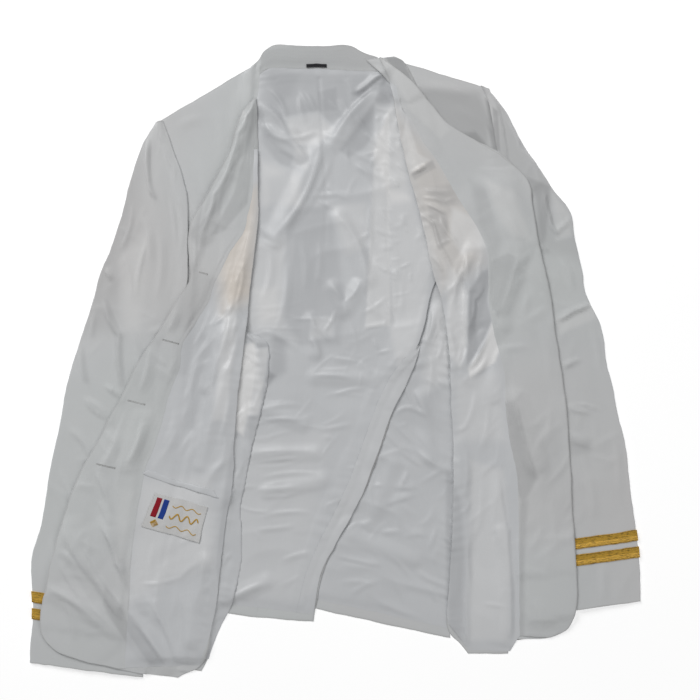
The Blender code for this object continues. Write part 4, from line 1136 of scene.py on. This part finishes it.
class Shader:
    """A new node material with a Principled shader, and short calls to add nodes to it."""

    def __init__(self, name, roughness, metallic=0.0, sheen=0.0, sheen_roughness=0.5, specular=0.5):
        self.material = bpy.data.materials.new(name)
        self.material.use_nodes = True
        self.tree = self.material.node_tree
        self.surface = self.tree.nodes["Principled BSDF"]
        self.surface.inputs["Roughness"].default_value = roughness
        self.surface.inputs["Metallic"].default_value = metallic
        self.surface.inputs["Sheen Weight"].default_value = sheen
        self.surface.inputs["Sheen Roughness"].default_value = sheen_roughness
        self.surface.inputs["Specular IOR Level"].default_value = specular

    def node(self, kind, settings=None, **inputs):
        made = self.tree.nodes.new(kind)
        for key, value in (settings or {}).items():
            setattr(made, key, value)
        for key, value in inputs.items():
            socket = made.inputs[int(key[1:])] if key[1:].isdigit() else made.inputs[key]
            if isinstance(value, bpy.types.NodeSocket):
                self.tree.links.new(value, socket)
            else:
                socket.default_value = value
        return made

    def attribute(self, name):
        return self.node("ShaderNodeAttribute", {"attribute_name": name})

    def weave(self):
        return self.attribute("weave").outputs["Vector"]

    def place(self):
        return self.node("ShaderNodeTexCoord").outputs["Object"]

    def noise(self, where, scale, detail=3.0, roughness=0.55):
        look = {"Scale": scale, "Detail": detail, "Roughness": roughness}
        return self.node("ShaderNodeTexNoise", Vector=where, **look).outputs["Fac"]

    def stretched(self, where, scale):
        made = self.node("ShaderNodeMapping", Vector=where, Scale=scale)
        return made.outputs["Vector"]

    def bands(self, where, wavelength, direction="DIAGONAL", distortion=0.0):
        """Even bands of the given wavelength in metres."""
        along = DIAGONAL_WAVE if direction == "DIAGONAL" else AXIS_WAVE
        made = self.node(
            "ShaderNodeTexWave",
            {"bands_direction": direction},
            Vector=where,
            Scale=along / wavelength,
            Distortion=distortion,
            Detail=1.0,
        )
        return made.outputs["Fac"]

    def ranged(self, value, low, high, from_low=0.0, from_high=1.0):
        made = self.node(
            "ShaderNodeMapRange", _0=value, _1=from_low, _2=from_high, _3=low, _4=high
        )
        return made.outputs["Result"]

    def mixed(self, factor, first, second):
        """Colours may be given as three numbers."""
        made = self.node("ShaderNodeMix", {"data_type": "RGBA"})
        for socket, value in ((made.inputs[0], factor), (made.inputs[6], first), (made.inputs[7], second)):
            if isinstance(value, bpy.types.NodeSocket):
                self.tree.links.new(value, socket)
            else:
                socket.default_value = value if isinstance(value, float) else (*value, 1.0)
        return made.outputs[2]

    def toned(self, colour, paler, darker):
        """Painted light where the pale value is over 0, and painted shade where it is under 0."""
        pale = self.attribute("pale").outputs["Fac"]
        colour = self.mixed(self.ranged(pale, 0.0, 1.0, 0.0, 1.0), colour, paler)
        return self.mixed(self.ranged(pale, 0.0, 1.0, 0.0, -1.0), colour, darker)

    def maths(self, operation, first, second=0.0):
        made = self.node("ShaderNodeMath", {"operation": operation}, _0=first, _1=second)
        return made.outputs["Value"]

    def finish(self, colour, bumps, roughness=None):
        """Sets the colour, and one bump after another as (height, strength, depth in metres)."""
        self.tree.links.new(colour, self.surface.inputs["Base Color"])
        if roughness is not None:
            self.tree.links.new(roughness, self.surface.inputs["Roughness"])
        normal = None
        for height, strength, depth in bumps:
            bump = self.node("ShaderNodeBump", Height=height, Strength=strength, Distance=depth)
            if normal is not None:
                self.tree.links.new(normal, bump.inputs["Normal"])
            normal = bump.outputs["Normal"]
        if normal is not None:
            self.tree.links.new(normal, self.surface.inputs["Normal"])
        return self.material


def twill_cloth():
    """White worsted twill: fine diagonal ribs, a matte face and a dark line along the edges, partly wear
    and partly painted shade.
    """
    made = Shader("white_twill_cloth", 0.88, sheen=0.25, sheen_roughness=0.4, specular=0.25)
    weave, place = made.weave(), made.place()
    ribs = made.bands(weave, 0.0009, distortion=0.35)
    fuzz = made.noise(weave, 1400.0, 4.0, 0.7)
    cloud = made.noise(place, 16.0, 4.0)
    slub = made.noise(made.stretched(weave, (260.0, 34.0, 40.0)), 1.0, 2.0)
    colour = made.mixed(cloud, (0.735, 0.750, 0.758), (0.785, 0.800, 0.806))
    hue = made.noise(place, 3.4, 1.0)
    colour = made.mixed(made.ranged(hue, 0.0, 0.6, 0.48, 0.68), colour, (0.775, 0.752, 0.745))
    colour = made.mixed(made.ranged(hue, 0.0, 0.6, 0.50, 0.30), colour, (0.750, 0.785, 0.770))
    colour = made.mixed(made.ranged(ribs, 0.0, 0.10), colour, (0.60, 0.615, 0.63))
    colour = made.mixed(made.ranged(slub, 0.0, 0.10, 0.45, 0.8), colour, (0.82, 0.83, 0.84))
    edge = made.attribute("edge").outputs["Fac"]
    # A dark line along every edge: partly wear, partly painted shade where the edge lies on the cloth
    # under it
    worn_and_shaded_edge = made.ranged(edge, 0.42, 0.0, 0.3, 2.2)
    colour = made.mixed(worn_and_shaded_edge, colour, (0.50, 0.50, 0.49))
    # Painted highlight and painted shade from the pale value
    colour = made.toned(colour, (1.0, 1.0, 0.99), (0.32, 0.325, 0.33))
    rough = made.ranged(fuzz, 0.80, 0.95)
    return made.finish(colour, [(ribs, 0.35, 0.00012), (fuzz, 0.25, 0.00010)], rough)


def satin_lining():
    """White satin lining: smooth floats that catch the light, streaked, and creamier where aged."""
    made = Shader("white_satin_lining", 0.42, sheen=0.1, sheen_roughness=0.3, specular=0.75)
    weave, place = made.weave(), made.place()
    floats = made.noise(made.stretched(weave, (5200.0, 900.0, 900.0)), 1.0, 3.0, 0.6)
    streak = made.noise(made.stretched(weave, (420.0, 26.0, 40.0)), 1.0, 3.0)
    cloud = made.noise(place, 11.0, 4.0)
    colour = made.mixed(cloud, (0.745, 0.762, 0.785), (0.795, 0.812, 0.832))
    colour = made.mixed(made.ranged(streak, 0.0, 0.12, 0.4, 0.8), colour, (0.85, 0.85, 0.85))
    tint = made.attribute("tint").outputs["Fac"]
    patchy = made.maths("MULTIPLY", tint, made.ranged(cloud, 0.55, 1.1))
    colour = made.mixed(patchy, colour, (0.88, 0.80, 0.715))
    # Painted sheen and painted shade from the pale value
    colour = made.toned(colour, (1.0, 1.0, 1.0), (0.34, 0.35, 0.37))
    rough = made.ranged(streak, 0.36, 0.52)
    return made.finish(colour, [(floats, 0.18, 0.00006), (streak, 0.06, 0.0003)], rough)


def gold_lace():
    """Gold lace: gold wire with a painted highlight on its rib crests, broken lengthwise dark streaks in
    its grooves that are partly gaps between wires and partly painted shade, and two dark ribbed edges.
    """
    made = Shader("gold_lace", 0.38, metallic=0.35, specular=0.7)
    weave = made.weave()
    parts = made.node("ShaderNodeSeparateXYZ", Vector=weave)
    along, down = parts.outputs["X"], parts.outputs["Y"]
    width = LACE_WIDTH * MM
    centre = made.maths("ABSOLUTE", made.maths("SUBTRACT", down, width / 2))
    chevron = made.maths("SINE", made.maths("MULTIPLY", made.maths("ADD", along, centre), 4200.0))
    wires = made.maths("SINE", made.maths("MULTIPLY", along, 11000.0))
    streak = made.noise(made.stretched(weave, (150.0, 820.0, 1.0)), 1.0, 3.0, 0.65)
    fleck = made.noise(made.stretched(weave, (320.0, 1100.0, 1.0)), 1.0, 2.0, 0.7)
    # Painted highlight: the gold is lighter where the chevron ribs stand highest
    colour = made.mixed(made.ranged(chevron, 0.0, 1.0, -1.0, 1.0), LACE_DEEP, LACE_HIGHLIGHT_GOLD)
    # Dark streaks where the relief is lowest: partly gaps between the wires, partly painted shade
    colour = made.mixed(made.ranged(streak, 0.0, 0.9, 0.52, 0.68), colour, LACE_DARK)
    colour = made.mixed(made.ranged(fleck, 0.0, 0.75, 0.58, 0.72), colour, LACE_RED)
    for far, wide, strength in ((0.0052, 0.0008, 0.9), (0.0033, 0.0006, 0.45), (0.0, 0.0006, 0.4)):
        line = made.ranged(
            made.maths("ABSOLUTE", made.maths("SUBTRACT", centre, far)), strength, 0.0, 0.0, wide
        )
        broken = made.maths("MULTIPLY", line, made.ranged(fleck, 0.25, 1.0, 0.35, 0.55))
        colour = made.mixed(broken, colour, LACE_DARK)
    relief = made.maths("ADD", chevron, made.maths("MULTIPLY", streak, -3.0))
    rough = made.ranged(fleck, 0.28, 0.5)
    return made.finish(colour, [(relief, 0.6, 0.0003), (wires, 0.3, 0.00008)], rough)


def thread(name, colour, roughness=0.6):
    """Twisted sewing thread, with the twist as fine slanting ribs."""
    made = Shader(name, roughness, sheen=0.2)
    twist = made.bands(made.place(), 0.00045, distortion=0.5)
    fleck = made.noise(made.place(), 600.0, 2.0)
    darker = tuple(0.78 * c for c in colour)
    shade = made.mixed(made.ranged(twist, 0.0, 0.45), colour, darker)
    paler = tuple(min(1, 1.1 * c) for c in colour)
    shade = made.mixed(made.ranged(fleck, 0.0, 0.3, 0.4, 0.9), shade, paler)
    return made.finish(shade, [(twist, 0.4, 0.00008)])


def woven(name, colour, roughness=0.62, cross=0.0007):
    """Plain woven ribbon: warp and weft threads that cross at right angles."""
    made = Shader(name, roughness, sheen=0.2, sheen_roughness=0.4, specular=0.35)
    weave = made.weave()
    warp = made.bands(weave, cross, "X")
    weft = made.bands(weave, cross * 0.8, "Y")
    cloth = made.maths("MULTIPLY", warp, weft)
    fleck = made.noise(weave, 420.0, 3.0)
    darker = tuple(0.80 * c for c in colour)
    shade = made.mixed(made.ranged(cloth, 0.0, 0.5), darker, colour)
    paler = tuple(min(1, 1.12 * c) for c in colour)
    shade = made.mixed(made.ranged(fleck, 0.0, 0.25, 0.45, 0.85), shade, paler)
    return made.finish(shade, [(cloth, 0.4, 0.00010)])


# Laying and sewing

SIDES = ("left", "right", "top", "hem")


class Garment:
    """The pile of cloth on the table, on which one sheet after another is laid."""

    def __init__(self):
        self.pile = Pile()

    def rest(self, panel, wall, lift, softness=40, sag=0.05):
        """Lets a panel down on the pile. Its top is then the upper face of the cloth."""
        needed = self.pile.under(panel.flat, PILE_REACH) + CLEARANCE
        panel.top = settled(needed, lift, softness, sag) + wall

    def relief(self, panel, folds=(), creases=(), grooves=(), rumples=(), crispness=0.7, loft=0.0):
        """Height that folds, creases, grooves and rumples add to a panel."""
        points = panel.flat
        lift = loft + FOLD_SHARE * fold_lift(points, folds)
        lift = lift + crease_lift(points, creases, crispness)
        lift = lift + groove_lift(points, grooves)
        for row in rumples:
            lift = lift + rumple(points, *row)
        return lift

    def lay(
        self, name, sections, wall, material, slot, cell=3.0, keep_flat=6.0, softness=40,
        sag=0.05, extra=None, tint=(), pale=(), flush=(), sewn_from=0.0, thin=(), held="laid",
        **how
    ):
        """A flush side is sewn down, from a distance below the top on, and a thin one tapers.
        """
        panel = Panel(sections, cell)
        lift = self.relief(panel, **how)
        # The pale value paints light where it is over 0 and shade where it is under 0
        panel.tint, panel.pale = toned(panel, tint), toned(panel, pale)
        if extra is not None:
            lift = lift + extra(panel)
        fade = np.clip(panel.from_edge() / keep_flat, 0.0, 1.0)
        lift = np.where(lift > 0, lift * (0.35 + 0.65 * fade), lift * fade)
        for side in thin:
            inside = np.clip(getattr(panel, "from_" + side) / THINNED, LEAST_WALL, 1)
            wall, lift = wall * inside, lift * inside
        edges = [getattr(panel, "from_" + s) for s in SIDES if s not in flush and s not in thin]
        if edges:
            panel.edge_far = np.minimum.reduce(edges)
        self.rest(panel, wall, lift, softness, sag)
        self.sew_down(panel, flush, sewn_from)
        lies_on = self.pile.owners(panel.flat)
        sheet = shell("cloth_" + name, panel, wall, material)
        self.pile.cover(sheet.name, panel.flat, panel.top)
        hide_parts(name)
        if held:
            self.declare(panel)
        return panel

    def sew_down(self, panel, sides, start):
        """Brings sewn edges down to what lies under them, from a distance below the top on."""
        below = self.pile.sampled(self.pile.top, panel.flat)
        for side in sides:
            near = np.clip(1 - getattr(panel, "from_" + side) / SEAM_TAPER, 0, 1)
            near = near * near * (3 - 2 * near)
            if start:
                near = near * np.clip((panel.from_top - start) / SEAM_RUN, 0, 1)
            panel.top = panel.top * (1 - near) + (below + SEAM_STEP) * near

    def declare(self, panel):
        """Works out the width, length and area of the flat cut, the panel's own outline, and keeps none of
        them.
        """
        width, length = panel.cut()
        area = float(np.clip(panel.area(), LEAST_AREA * width * length, width * length))

    def sleeve(self, side, sections, material, creases, rumples, pale):
        """A sleeve is an open tube of cloth, pressed flat along its two folds."""
        names = ("under_sleeve_" + side, "top_sleeve_" + side)
        low, top = Panel(sections, SLEEVE_CELL), Panel(sections, SLEEVE_CELL)
        # The pale value paints light where it is over 0 and shade where it is under 0
        top.pale = toned(top, pale)
        lies_on = self.pile.owners(top.flat)
        self.rest(low, SHELL_CLOTH, 0.0)
        share = 2 * top.share[None, :] - 1
        crown = SLEEVE_CROWN * (1 - share**2)
        lift = crown + self.relief(top, creases=creases, rumples=rumples)
        needed = np.maximum(self.pile.under(top.flat, 1) + CLEARANCE, low.top + SLEEVE_HOLLOW)
        top.top = settled(needed, np.maximum(lift, 0.2), 6, 0.02) + SHELL_CLOTH
        sleeve = tube("cloth_sleeve_" + side, top, low, SHELL_CLOTH, material)
        self.pile.cover(sleeve.name, top.flat, top.top)
        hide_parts(*names)
        width, length = top.cut()
        area = min(2 * top.area(), 2 * width * length)
        return top


def pucker(strength, wavelength, reach, seed, sides=("left", "right")):
    """Small ripples that run in from the long seams of a lining, uneven in size and spacing."""

    def lift(panel):
        total = 0.0
        for number, side in enumerate(sides):
            far = panel.from_left if side == "left" else panel.from_right
            down = panel.from_top
            drift = value_noise(down, far * 0.2, wavelength * 3.5, seed + number) * 9
            size = value_noise(down, far * 0.1, wavelength * 4.5, seed + 20 + number)
            ripple = np.sin(2 * np.pi * down / wavelength + drift + far * 0.12)
            total = total + strength * size * (ripple + 0.4) * np.exp(-far / reach)
        return total

    return lift


def along_panel(panel, across_mm, start=4.0, end=4.0, side="left"):
    """A route down a panel at a steady distance in from one side."""
    down = np.arange(start, panel.length - end, 1.0)
    widths = np.interp(down, panel.down, panel.widths)
    share = np.clip(across_mm / widths, 0, 1)
    return panel.at(down, share if side == "left" else 1 - share)


def across_panel(panel, down_mm, start=0.03, end=0.97):
    """A route across a panel at a steady distance down it."""
    share = np.linspace(start, end, 160)
    return panel.at(np.full(160, down_mm), share)


def toned(panel, areas):
    """How much a change of tone holds at each point. An area is its corners, strength and blur."""
    total = np.zeros(panel.shape)
    for corners, strength, blur in areas:
        total += strength * covered(panel.flat, corners, blur)
    return np.clip(total, -1, 1)


def dress():
    """Lays the whole coat in the order of the model's layers, from the table up."""
    coat = Garment()
    twill, satin, gold = twill_cloth(), satin_lining(), gold_lace()
    white_thread = thread("white_sewing_thread", (0.76, 0.76, 0.75))

    def outside(name, sections, cell=3.0, wall=SHELL_CLOTH, **how):
        return coat.lay(name, sections, wall, twill, "twill", cell, **how)

    def inside(name, sections, cell, slot="lining", **how):
        how["crispness"] = LINING_CRISPNESS
        return coat.lay(name, sections, LINING_CLOTH, satin, slot, cell, **how)

    outside(
        "collar_under", widened(COLLAR_UNDER, right=-14.0), rumples=FIRM, thin=("right",),
        pale=COLLAR_PAINTED_LIGHT_SHADE,
    )
    outside(
        "side_left_shell", widened(SIDE_LEFT, right=5.0), 6.0, rumples=FIRM, thin=("left",)
    )
    inside(
        "side_left_lining", widened(SIDE_LEFT_LINING, right=6.0), 2.6, flush=("hem",),
        thin=("left",), pale=SIDE_LEFT_PAINTED_LIGHT_SHADE, folds=SIDE_LEFT_FOLDS,
        creases=SIDE_LEFT_CREASES + scattered(*SIDE_LEFT_SCATTER), loft=0.8,
        rumples=((1.4, 60.0, 31), (0.7, 24.0, 32), (1.1, 34.0, 33, -20.0, 2.4, True)),
        extra=pucker(0.9, 11.0, 9.0, 41, ("right",)),
    )
    outside(
        "back_right_shell", widened(BACK_RIGHT, right=4.0), 6.0, rumples=FIRM, thin=("right",)
    )
    outside("back_left_shell", BACK_LEFT, 6.0, rumples=FIRM, thin=("left",))
    inside(
        "back_lining", lengthened(widened(BACK_LINING, right=3.0), top=9.0), 2.4,
        flush=("top", "hem"), keep_flat=14.0, pale=BACK_PAINTED_LIGHT_SHADE, folds=BACK_FOLDS,
        creases=BACK_LINING_CREASES + sum((scattered(*row) for row in BACK_SCATTER), ()),
        grooves=BACK_SEAMS, loft=1.2,
        rumples=((1.6, 80.0, 51), (0.6, 26.0, 52), (0.5, 32.0, 53, 12.0, 2.2, True)),
        extra=pucker(0.8, 12.0, 10.0, 61),
    )
    inside(
        "back_vent_facing", VENT_FACING, 2.2, "twill", flush=("top", "hem"), thin=("left",),
        loft=0.2, rumples=((0.4, 50.0, 71),), pale=VENT_PAINTED_LIGHT_SHADE,
    )
    stand = outside(
        "collar_stand", COLLAR_STAND, 2.4, flush=("right",), loft=0.4, pale=STAND_PAINTED_LIGHT_SHADE,
        rumples=((0.8, 45.0, 81), (0.3, 15.0, 82)),
    )
    outside(
        "front_right_side", widened(FRONT_RIGHT_SIDE, left=6.0), 4.0, rumples=FIRM, loft=0.6,
        creases=SHOULDER_RIGHT_CREASES,
    )
    outside(
        "front_left_side", widened(FRONT_LEFT_SIDE, right=8.0), 4.0, rumples=FIRM, loft=0.6,
        creases=SHOULDER_LEFT_CREASES, pale=SHOULDER_LEFT_PAINTED_LIGHT_SHADE,
    )
    for side, sections, creases, tones, seed in (
        ("right", SLEEVE_RIGHT, SLEEVE_RIGHT_CREASES, SLEEVE_RIGHT_PAINTED_LIGHT_SHADE, 91),
        ("left", SLEEVE_LEFT, SLEEVE_LEFT_CREASES, SLEEVE_LEFT_PAINTED_LIGHT_SHADE, 101),
    ):
        rumples = ((1.9, 75.0, seed), (0.7, 28.0, seed + 1), (0.4, 46.0, seed + 2, 75.0, 1.8, True))
        middle = np.array(sections, float)[3:-2].reshape(-1, 2, 2).mean(axis=1)
        spots = tuple((x, y, 60.0) for x, y in middle[::3])
        small = scattered(seed + 5, 40, spots, 100, 45, 42, 0.9, 5)
        bold = tuple((*row[:5], 1.3 * row[5], 0.68 * row[6]) for row in creases)
        top = coat.sleeve(side, sections, twill, bold + small, rumples, tones)
        for place, low in (
            ("lower", LACE_ABOVE_CUFF),
            ("upper", LACE_ABOVE_CUFF + LACE_WIDTH + LACE_SPACE),
        ):
            coat.lay(
                f"sleeve_lace_{place}_{side}", band_above_cuff(sections, low, low + LACE_WIDTH),
                BRAID, gold, "gold_lace", 1.6, softness=4, sag=0.0, held="folded",
            )
        stitches(f"cuff_stitches_{side}", along_cuff(top, 9.0), white_thread, 1.4, 5.0, 0.16)
    outside(
        "collar_end_right", lengthened(widened(COLLAR_END_RIGHT, right=4.0), hem=16.0), 2.0,
        loft=0.3, flush=("left", "right", "hem"), rumples=((0.6, 30.0, 111),),
    )
    outside(
        "collar_end_left", COLLAR_END_LEFT, 2.0, COLLAR_CLOTH, loft=0.5,
        rumples=((0.6, 30.0, 121),), pale=COLLAR_PAINTED_LIGHT_SHADE,
    )
    outside("side_right_shell", widened(SIDE_RIGHT, -1.0, -1.0), rumples=FIRM)
    inside(
        "side_right_lining", SIDE_RIGHT[:-1], 2.1, loft=0.6, flush=("right",),
        pale=STRIP_PAINTED_LIGHT_SHADE, creases=STRIP_CREASES + scattered(*STRIP_SCATTER),
        rumples=((1.0, 40.0, 131), (0.8, 22.0, 132, 80.0, 2.0, True)),
        extra=pucker(1.0, 12.0, 10.0, 141),
    )
    for name, sections, folds, seed in (
        ("front_right_shell", FRONT_RIGHT, FRONT_RIGHT_FOLDS, 151),
        ("front_left_shell", FRONT_LEFT, FRONT_LEFT_FOLDS, 161),
    ):
        outside(name, sections, 5.5, folds=folds, rumples=((1.2, 95.0, seed),), softness=140)
    inside(
        "front_right_lining", lengthened(widened(LINING_RIGHT, left=4.0), hem=9.0), 2.3,
        folds=LINING_RIGHT_FOLDS, loft=0.8, thin=("left",),
        creases=LINING_RIGHT_CREASES + scattered(*LINING_RIGHT_SCATTER) + FRONT_RIGHT_CREASES,
        rumples=((1.3, 55.0, 171), (0.6, 22.0, 172), (1.2, 30.0, 173, 66.0, 2.6, True)),
        extra=pucker(0.55, 12.0, 9.0, 181), flush=("right", "hem"), sewn_from=360.0,
        keep_flat=12.0, tint=LINING_RIGHT_CREAM, pale=LINING_RIGHT_PAINTED_LIGHT_SHADE,
    )
    inside(
        "front_left_lining", widened(LINING_LEFT, right=4.0), 2.3, loft=0.8, thin=("right",),
        creases=LINING_LEFT_CREASES + scattered(*LINING_LEFT_SCATTER) + FRONT_LEFT_CREASES,
        rumples=((1.3, 55.0, 191), (0.6, 22.0, 192), (1.2, 30.0, 193, 96.0, 2.6, True)),
        extra=pucker(0.9, 12.0, 9.0, 201, ("left",)), flush=("hem",), keep_flat=12.0,
        tint=LINING_LEFT_CREAM, pale=LINING_LEFT_PAINTED_LIGHT_SHADE,
    )
    outside(
        "front_right_facing", FACING_RIGHT, 2.6, flush=("right",), loft=0.3, crispness=FACING_CRISPNESS,
        creases=FRONT_RIGHT_CREASES + LAPEL_ROLL + scattered(*FACING_RIGHT_SCATTER),
        rumples=((1.4, 70.0, 211), (0.6, 30.0, 212)), pale=FACING_RIGHT_PAINTED_LIGHT_SHADE,
    )
    outside(
        "front_left_facing", FACING_LEFT, 2.6, flush=("left",), loft=0.3, crispness=FACING_CRISPNESS,
        creases=FRONT_LEFT_CREASES + scattered(*FACING_LEFT_SCATTER),
        rumples=((1.4, 80.0, 221), (0.5, 32.0, 222)), pale=FACING_LEFT_PAINTED_LIGHT_SHADE,
    )
    inside(
        "inner_pocket_welt", POCKET_WELT, 1.6, loft=0.3, rumples=((0.4, 20.0, 231),), held=None
    )
    label(coat)
    neck_tag(coat)
    buttonholes(coat, white_thread)
    sewing(stand, white_thread)


def along_cuff(top, up):
    """A route round the upper side of a sleeve, a little above its cuff."""
    share = np.linspace(0.06, 0.94, 140)
    return top.at(np.full(140, top.length - up), share)


def label(coat):
    """A generic woven label: three gold waves beside bars of red and blue, and a diamond."""
    ground = woven("label_ground_weave", (0.93, 0.93, 0.925))
    blue = woven("label_blue_weave", (0.012, 0.065, 0.40))
    red = woven("label_red_weave", (0.42, 0.004, 0.022))
    gold = woven("label_gold_weave", (0.78, 0.46, 0.05), 0.45)
    panel = coat.lay(
        "inner_label", LABEL, LABEL_CLOTH, ground, "label", 1.6, softness=20,
        rumples=((0.5, 30.0, 241),),
    )
    long, wide = panel.length, float(panel.widths.mean())
    share = 1 / wide
    for number, (start, cloth) in enumerate(((5.0, red), (14.0, blue))):
        bar = (start * share, (start + 6.6) * share)
        patch(f"label_bar_{number}", panel, (4.5, long - 15.0), bar, 0.1, cloth)
    centre, turns = np.array([long - 8.0, 12.5 * share]), np.arange(5) * np.pi / 2
    for number, size in enumerate((4.6, 3.1, 1.5)):
        down = centre[0] + size * np.cos(turns)
        route = panel.at(down, centre[1] + size * np.sin(turns) * share)
        route[:, 2] += 0.12
        thread_mesh(f"label_diamond_{number}", [route], gold, 0.62)
    sweep = np.linspace(0, 1, 90)
    for number, (waves, middle, tall, thick) in enumerate(
        ((2.5, 0.22, 1.6, 0.5), (3.0, 0.50, 3.6, 0.8), (2.5, 0.80, 1.8, 0.5))
    ):
        down = long * middle + tall * np.sin(2 * np.pi * waves * sweep)
        route = panel.at(down, (26 + sweep * (wide - 32)) * share)
        route[:, 2] += 0.12
        thread_mesh(f"label_wave_{number}", [route], gold, thick)
    loop = np.concatenate(
        [
            along_panel(panel, 0.9, 1, 1),
            across_panel(panel, long - 0.9, 0.02, 0.98),
            along_panel(panel, 0.9, 1, 1, "right")[::-1],
            across_panel(panel, 0.9, 0.02, 0.98)[::-1],
        ]
    )
    stitches("label_stitches", loop, thread("label_thread", (0.80, 0.80, 0.79)), 2.0, 1.4, 0.16)


def neck_tag(coat):
    """A tag of black tape, stitched along its two long edges."""
    black = woven("black_tape_weave", (0.018, 0.018, 0.022), 0.7)
    tag = coat.lay("neck_tag", NECK_TAG, TAPE, black, "tag", 0.8, softness=6, held=None)
    pale = thread("tag_thread", (0.09, 0.09, 0.10))
    for number, up in enumerate((0.8, tag.length - 0.8)):
        stitches(f"tag_stitches_{number}", across_panel(tag, up), pale, 1.6, 1.0, 0.14)


def buttonholes(coat, cloth_thread):
    """Keyhole buttonholes: a dark slit with a round eye, bound all round in close purl stitches."""
    shade = woven("buttonhole_shadow", (0.36, 0.36, 0.36))
    for number, (x0, y0, x1, y1) in enumerate(BUTTONHOLES):
        start, end = np.array([x0, y0], float), np.array([x1, y1], float)
        run = (end - start) / np.linalg.norm(end - start)
        side = np.array([-run[1], run[0]])
        length, half, eye = np.linalg.norm(end - start), 0.12, 1.1
        turns = np.radians(np.linspace(150, -150, 26))
        round_eye = np.stack([eye + eye * np.cos(turns), eye * np.sin(turns)], axis=1)
        legs = np.arange(2 * eye + 0.4, length - 0.4, 0.4)
        tip = np.radians(np.linspace(-90, 90, 7))
        rounded = np.stack([length - 0.4 + half * np.cos(tip), half * np.sin(tip)], axis=1)
        lower = np.stack([legs, np.full(len(legs), -half)], axis=1)
        outline = np.concatenate([round_eye, lower, rounded, (lower * [1, -1])[::-1]])
        outline[:, 0] = length - outline[:, 0]
        ahead = np.roll(outline, -1, axis=0) - np.roll(outline, 1, axis=0)
        outward = np.stack([ahead[:, 1], -ahead[:, 0]], axis=1)
        outward /= np.linalg.norm(outward, axis=1, keepdims=True) + 1e-9
        centre = outline.mean(axis=0)
        if ((outline - centre) * outward).sum() < 0:
            outward = -outward
        lines = []
        for place, out in zip(outline, outward):
            local = np.stack([place + out * far for far in (0.0, 0.35, 0.7, 1.0)])
            world = start + local[:, :1] * run + local[:, 1:] * side
            height = coat.pile.sampled(coat.pile.top, world) + np.array([-0.1, 0.14, 0.12, -0.1])
            lines.append(np.column_stack([world, height]))
        thread_mesh(f"buttonhole_{number}", lines, cloth_thread, 0.11)
        inner = start + (outline[:, :1] * run + outline[:, 1:] * side)
        middle = start + ((outline * [1, 0])[:, :1] * run)
        slit = []
        for a, b in zip(inner, middle):
            line = np.stack([a, (a + b) / 2, b])
            height = coat.pile.sampled(coat.pile.top, line) + 0.06
            slit.append(np.column_stack([line, height]))
        thread_mesh(f"buttonhole_slit_{number}", slit, shade, 0.12)


def sewing(stand, cloth_thread):
    """Rows of stitches along the collar stand, which hold its stiffening."""
    for number, far in enumerate((2.2, 6.0, 10.0, 14.0, 18.0)):
        short = 14 if number else 3
        route = along_panel(stand, far, short, short)
        stitches(f"collar_stand_stitches_{number}", route, cloth_thread, 2.2, 1.0, 0.15)
    stitches(
        "collar_seam_stitches", along_panel(stand, 1.4, 3, 3, "right"), cloth_thread, 2.2, 1.0, 0.17
    )


def stage():
    """A pale table, soft light from above and the camera straight over the coat."""
    floor = Shader("pale_table", 0.9, specular=0.1)
    grain = floor.noise(floor.place(), 3.0, 2.0)
    colour = floor.mixed(grain, (0.86, 0.86, 0.86), (0.90, 0.90, 0.90))
    floor.surface.inputs["Emission Color"].default_value = (1.0, 1.0, 1.0, 1.0)
    floor.surface.inputs["Emission Strength"].default_value = TABLE_GLOW
    floor.finish(colour, [])
    bpy.ops.mesh.primitive_plane_add(size=6, location=(0, 0, -0.0004))
    table = bpy.context.object
    table.name = "table"
    table.data.materials.append(floor.material)

    world = bpy.context.scene.world or bpy.data.worlds.new("studio")
    bpy.context.scene.world = world
    world.use_nodes = True
    sky = world.node_tree.nodes["Background"]
    sky.inputs["Color"].default_value = (1.0, 1.0, 1.0, 1.0)
    sky.inputs["Strength"].default_value = SKY_STRENGTH

    for name, place, size, power in LIGHTS:
        light = bpy.data.lights.new(name, "AREA")
        light.shape, light.size, light.energy = "DISK", size, power
        lamp = bpy.data.objects.new(name, light)
        lamp.location = place
        lamp.rotation_euler = Vector(place).to_track_quat("Z", "Y").to_euler()
        bpy.context.scene.collection.objects.link(lamp)

    data = bpy.data.cameras.new("camera")
    data.lens = CAMERA_LENS
    camera = bpy.data.objects.new("camera", data)
    camera.location = (CAMERA_CENTRE[0] * MM, CAMERA_CENTRE[1] * MM, CAMERA_HEIGHT * MM)
    bpy.context.scene.collection.objects.link(camera)
    bpy.context.scene.camera = camera
    bpy.context.scene.view_settings.view_transform = "Standard"


dress()
stage()
